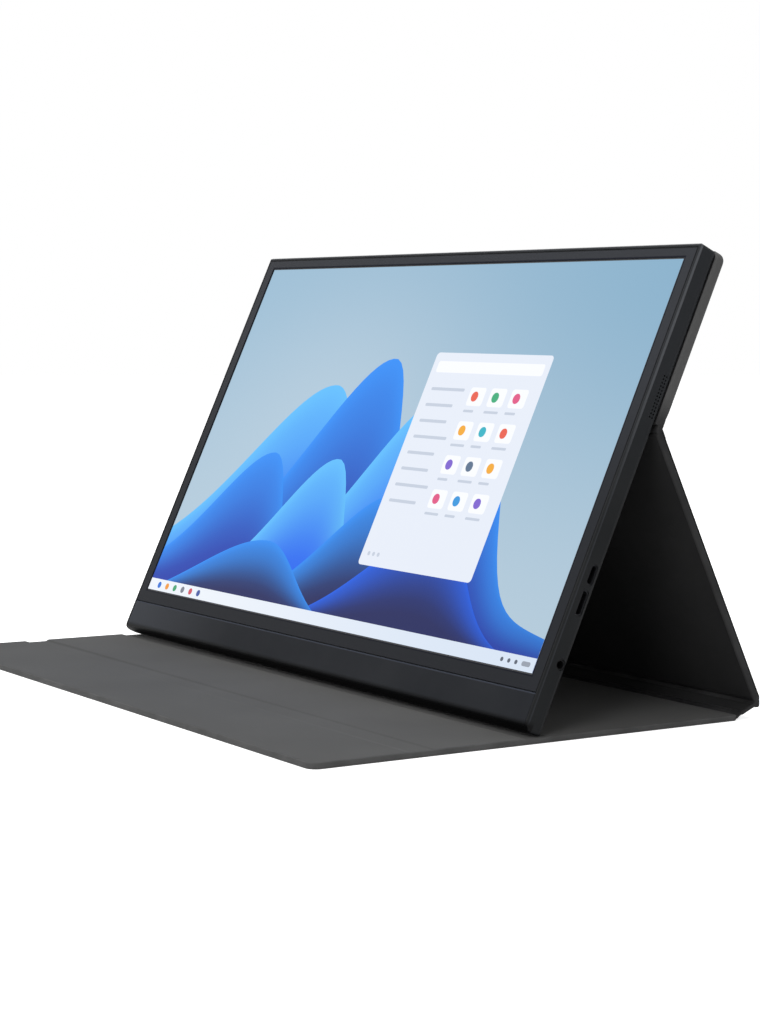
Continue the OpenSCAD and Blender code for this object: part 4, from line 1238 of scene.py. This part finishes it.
@dataclass
class Desktop:
    """A plain desktop picture: pale sky, rolling blue swells, a small window of tiles and a light bar."""

    wardrobe: Wardrobe
    bar_h: float = 6.6
    tile_columns: int = 3
    tile_rows: int = 4
    tile_rise: float = 17.5
    tile_h: float = 9.5
    tile_gap: float = 4.0

    def sky(self, picture: PictureMesh) -> None:
        """Paints the pale blue background."""
        low, left, right, glow = palette((176, 199, 215), (146, 182, 206), (131, 172, 199), (190, 208, 222))

        def paint(a: float, b: float) -> Colour:
            """Sky colour at shares across and up."""
            base = mixed(low, mixed(left, right, a), eased(b))
            spot = math.exp(-(((a - 0.35) / 0.35) ** 2 + ((b - 0.55) / 0.45) ** 2))
            return mixed(base, glow, 0.55 * spot)

        w, h = picture.width, picture.height
        picture.grid(40, 24, lambda a, b: ((a - 0.5) * w, b * h), paint)

    def swells(self, picture: PictureMesh) -> None:
        """Paints the overlapping blue swells, the farthest first."""
        light, clear, rich, deep, dark = palette(
            (96, 196, 252), (34, 146, 252), (0, 96, 236), (2, 52, 170), (4, 20, 88))
        for swell in (
                Swell(38, 88, -62, 60, light, rich, dark), Swell(30, 112, -18, 52, clear, deep, dark),
                Swell(26, 96, 34, 46, light, rich, dark), Swell(22, 84, 86, 40, clear, deep, dark),
                Swell(20, 66, -96, 44, clear, deep, dark), Swell(16, 70, -34, 40, light, rich, dark),
                Swell(12, 58, 24, 44, clear, dark, dark), Swell(8, 50, 74, 50, rich, dark, dark),
                Swell(4, 34, -70, 60, clear, dark, dark)):
            swell.add_to(picture)

    def window(self, picture: PictureMesh, x: float, v: float, w: float, h: float) -> None:
        """Paints a pale window with bars for lines of text and small coloured tiles.

        Args:
            picture: The mesh to add to.
            x: Left edge.
            v: Lower edge.
            w: Width.
            h: Height.
        """
        paper, band, ink = palette((229, 235, 246), (247, 249, 253), (196, 205, 220))
        hues = palette((232, 92, 70), (46, 150, 220), (242, 170, 44), (56, 172, 120), (124, 96, 206),
                       (40, 178, 196), (224, 84, 132), (88, 112, 140))
        picture.raise_layer()
        picture.rounded(x, v, w, h, 2.2, paper)
        picture.raise_layer()
        picture.rounded(x + 4, v + h - 10.5, w - 8, 6, 1.4, band)
        for k in range(3):
            picture.rounded(x + 5 + 4 * k, v + 5, 2.2, 2.2, 1.0, ink)
        column = w * 0.34
        for k in range(8):
            picture.rounded(x + 6, v + h - 20 - 8.4 * k, column - (9 if k % 3 else 4), 1.6, 0.7, ink)
        pitch = (w - column - 12) / self.tile_columns
        size = pitch - self.tile_gap
        tiles = [(i, j, x + column + 7 + i * pitch, v + h - 27 - j * self.tile_rise)
                 for i in range(self.tile_columns) for j in range(self.tile_rows)]
        for i, j, tx, tv in tiles:
            picture.rounded(tx, tv, size, self.tile_h, 1.6, band)
            picture.rounded(tx, tv - 3.4, size * (0.9 if (i + j) % 2 else 0.65), 1.3, 0.6, ink)
        picture.raise_layer()
        for i, j, tx, tv in tiles:
            picture.rounded(tx + 2.2, tv + 2.2, 5.2, 5.2, 2.5, hues[(3 * i + 2 * j) % len(hues)])

    def bar(self, picture: PictureMesh) -> None:
        """Paints the light bar along the bottom, with a few round marks."""
        w = picture.width
        pale, blue, grey, slate = palette((236, 241, 248), (214, 226, 242), (150, 158, 172), (90, 98, 112))
        hues = palette((30, 110, 214), (238, 150, 40), (56, 160, 110),
                       (120, 126, 140), (206, 76, 92), (60, 84, 160))
        picture.raise_layer()
        picture.grid(12, 1, lambda a, b: ((a - 0.5) * w, b * self.bar_h),
                     lambda a, b: mixed(pale, blue, eased(a)))
        picture.raise_layer()
        for k, hue in enumerate(hues):
            picture.rounded(-w / 2 + 9 + 8.6 * k, 1.5, 3.6, 3.6, 1.7, hue)
        for k in range(3):
            picture.rounded(w / 2 - 24 + 5 * k, 2.3, 2.0, 2.0, 0.9, slate)
        picture.rounded(w / 2 - 9, 2.2, 6, 2.2, 1.0, grey)

    def build(self) -> bpy.types.Object:
        """Builds the whole picture as one piece on the monitor."""
        picture = PictureMesh()
        self.sky(picture)
        self.swells(picture)
        self.window(picture, 16.0, 34.0, 92.0, 112.0)
        self.bar(picture)
        piece = picture.build("screen_picture", STANCE.screen())
        self.wardrobe.dress(piece, SCREEN)
        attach(piece, Body.MONITOR.value)
        return piece


# ---------- The monitor ----------


@dataclass
class Monitor:
    """Finishes of the model's own monitor parts."""

    wardrobe: Wardrobe

    def dress(self) -> int:
        """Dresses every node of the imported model.

        Returns:
            How many nodes were dressed.
        """
        for name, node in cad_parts.items():
            self.wardrobe.dress(node, NODE_FINISHES[name])
        return len(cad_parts)


# ---------- The studio ----------


def seen_rays(tree: bpy.types.NodeTree) -> bpy.types.NodeSocket:
    """Adds a share that is 1 for rays of the camera, of reflections and through glass, and 0 for others.

    Args:
        tree: The node tree to add it to.

    Returns:
        The socket that holds the share.
    """
    path = tree.nodes.new("ShaderNodeLightPath")
    share = path.outputs["Is Camera Ray"]
    for kind in ("Is Glossy Ray", "Is Transmission Ray"):
        either = tree.nodes.new("ShaderNodeMath")
        either.operation = "MAXIMUM"
        tree.links.new(share, either.inputs[0])
        tree.links.new(path.outputs[kind], either.inputs[1])
        share = either.outputs[0]
    return share


@dataclass
class Studio:
    """Floor, lamps, world and camera, in metres and degrees."""

    eye: Point = (0.905023, -0.576838, 0.172248)
    turn: Point = (85.4417, -0.8033, 56.0805)
    lens: float = 78.7252
    film: float = 36.0
    floor_reach: float = 6.0
    floor_tone: float = 0.8
    floor_glow: float = 0.8
    world_light: float = 0.42
    world_look: float = 1.0

    def camera(self) -> bpy.types.Object:
        """The scene's camera."""
        data = bpy.data.cameras.new("camera")
        data.lens = self.lens
        data.sensor_width = self.film
        data.clip_start = 0.01
        data.clip_end = 50.0
        camera = bpy.data.objects.new("camera", data)
        camera.location = self.eye
        camera.rotation_euler = Euler([math.radians(a) for a in self.turn], "XYZ")
        bpy.context.scene.collection.objects.link(camera)
        bpy.context.scene.camera = camera
        return camera

    def floor(self) -> bpy.types.Object:
        """A pale table top that reads white to the camera and keeps a soft shadow."""
        mesh = bmesh.new()
        bmesh.ops.create_grid(mesh, x_segments=4, y_segments=4, size=self.floor_reach)
        floor = piece_from("studio_floor", mesh, None)
        material = bpy.data.materials.new("studio_floor_paint")
        material.use_nodes = True
        nodes, links = material.node_tree.nodes, material.node_tree.links
        nodes.clear()
        output = nodes.new("ShaderNodeOutputMaterial")
        paint = nodes.new("ShaderNodeBsdfDiffuse")
        paint.inputs["Color"].default_value = (*[self.floor_tone] * 3, 1)
        glow = nodes.new("ShaderNodeEmission")
        glow.inputs["Strength"].default_value = self.floor_glow
        both = nodes.new("ShaderNodeAddShader")
        choose = nodes.new("ShaderNodeMixShader")
        links.new(paint.outputs[0], both.inputs[0])
        links.new(glow.outputs[0], both.inputs[1])
        links.new(seen_rays(material.node_tree), choose.inputs["Fac"])
        links.new(paint.outputs[0], choose.inputs[1])
        links.new(both.outputs[0], choose.inputs[2])
        links.new(choose.outputs[0], output.inputs["Surface"])
        floor.data.materials.append(material)
        return floor

    def world(self) -> None:
        """A white surround, softer for the light it gives than for how it looks."""
        world = bpy.data.worlds.new("studio_world")
        bpy.context.scene.world = world
        world.use_nodes = True
        nodes, links = world.node_tree.nodes, world.node_tree.links
        nodes.clear()
        output = nodes.new("ShaderNodeOutputWorld")
        choose = nodes.new("ShaderNodeMixShader")
        links.new(seen_rays(world.node_tree), choose.inputs["Fac"])
        for slot, strength in ((1, self.world_light), (2, self.world_look)):
            light = nodes.new("ShaderNodeBackground")
            light.inputs["Color"].default_value = (*WHITE, 1)
            light.inputs["Strength"].default_value = strength
            links.new(light.outputs[0], choose.inputs[slot])
        links.new(choose.outputs[0], output.inputs["Surface"])

    def lamp(self, name: str, place: Point, aim: Point, size: float, power: float) -> bpy.types.Object:
        """A large soft lamp.

        Args:
            name: The lamp's name.
            place: Where it hangs.
            aim: What it points at.
            size: Side of its square, in metres.
            power: Watts.

        Returns:
            The lamp.
        """
        data = bpy.data.lights.new(name, "AREA")
        data.shape = "SQUARE"
        data.size = size
        data.energy = power
        lamp = bpy.data.objects.new(name, data)
        lamp.location = place
        lamp.rotation_euler = (Vector(aim) - Vector(place)).to_track_quat("-Z", "Y").to_euler()
        bpy.context.scene.collection.objects.link(lamp)
        return lamp

    def build(self) -> None:
        """Sets up everything round the object."""
        bpy.context.scene.view_settings.view_transform = "Standard"
        self.world()
        self.floor()
        self.lamp("key_lamp", (0.95, -1.3, 1.15), (0, 0, 0.12), 0.6, 9.0)
        self.lamp("fill_lamp", (-1.0, -1.6, 1.7), (0, 0, 0.1), 1.2, 12.0)
        self.lamp("top_lamp", (-0.2, 0.3, 2.0), (0, 0, 0.1), 1.2, 16.0)
        self.camera()


def main() -> None:
    """Builds and dresses everything in order."""
    logging.basicConfig(level=logging.INFO, format="%(name)s: %(message)s")
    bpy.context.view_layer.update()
    wardrobe = Wardrobe()
    count = Monitor(wardrobe).dress()
    LOG.info("dressed %d nodes", count)
    for piece in FoldingCover(wardrobe).build():
        LOG.info("cover piece %s, %d faces", piece.name, len(piece.data.polygons))
    picture = Desktop(wardrobe).build()
    LOG.info("picture %s, %d faces", picture.name, len(picture.data.polygons))
    Studio().build()
    LOG.info("sizes written")


if __name__ == "__main__":
    main()
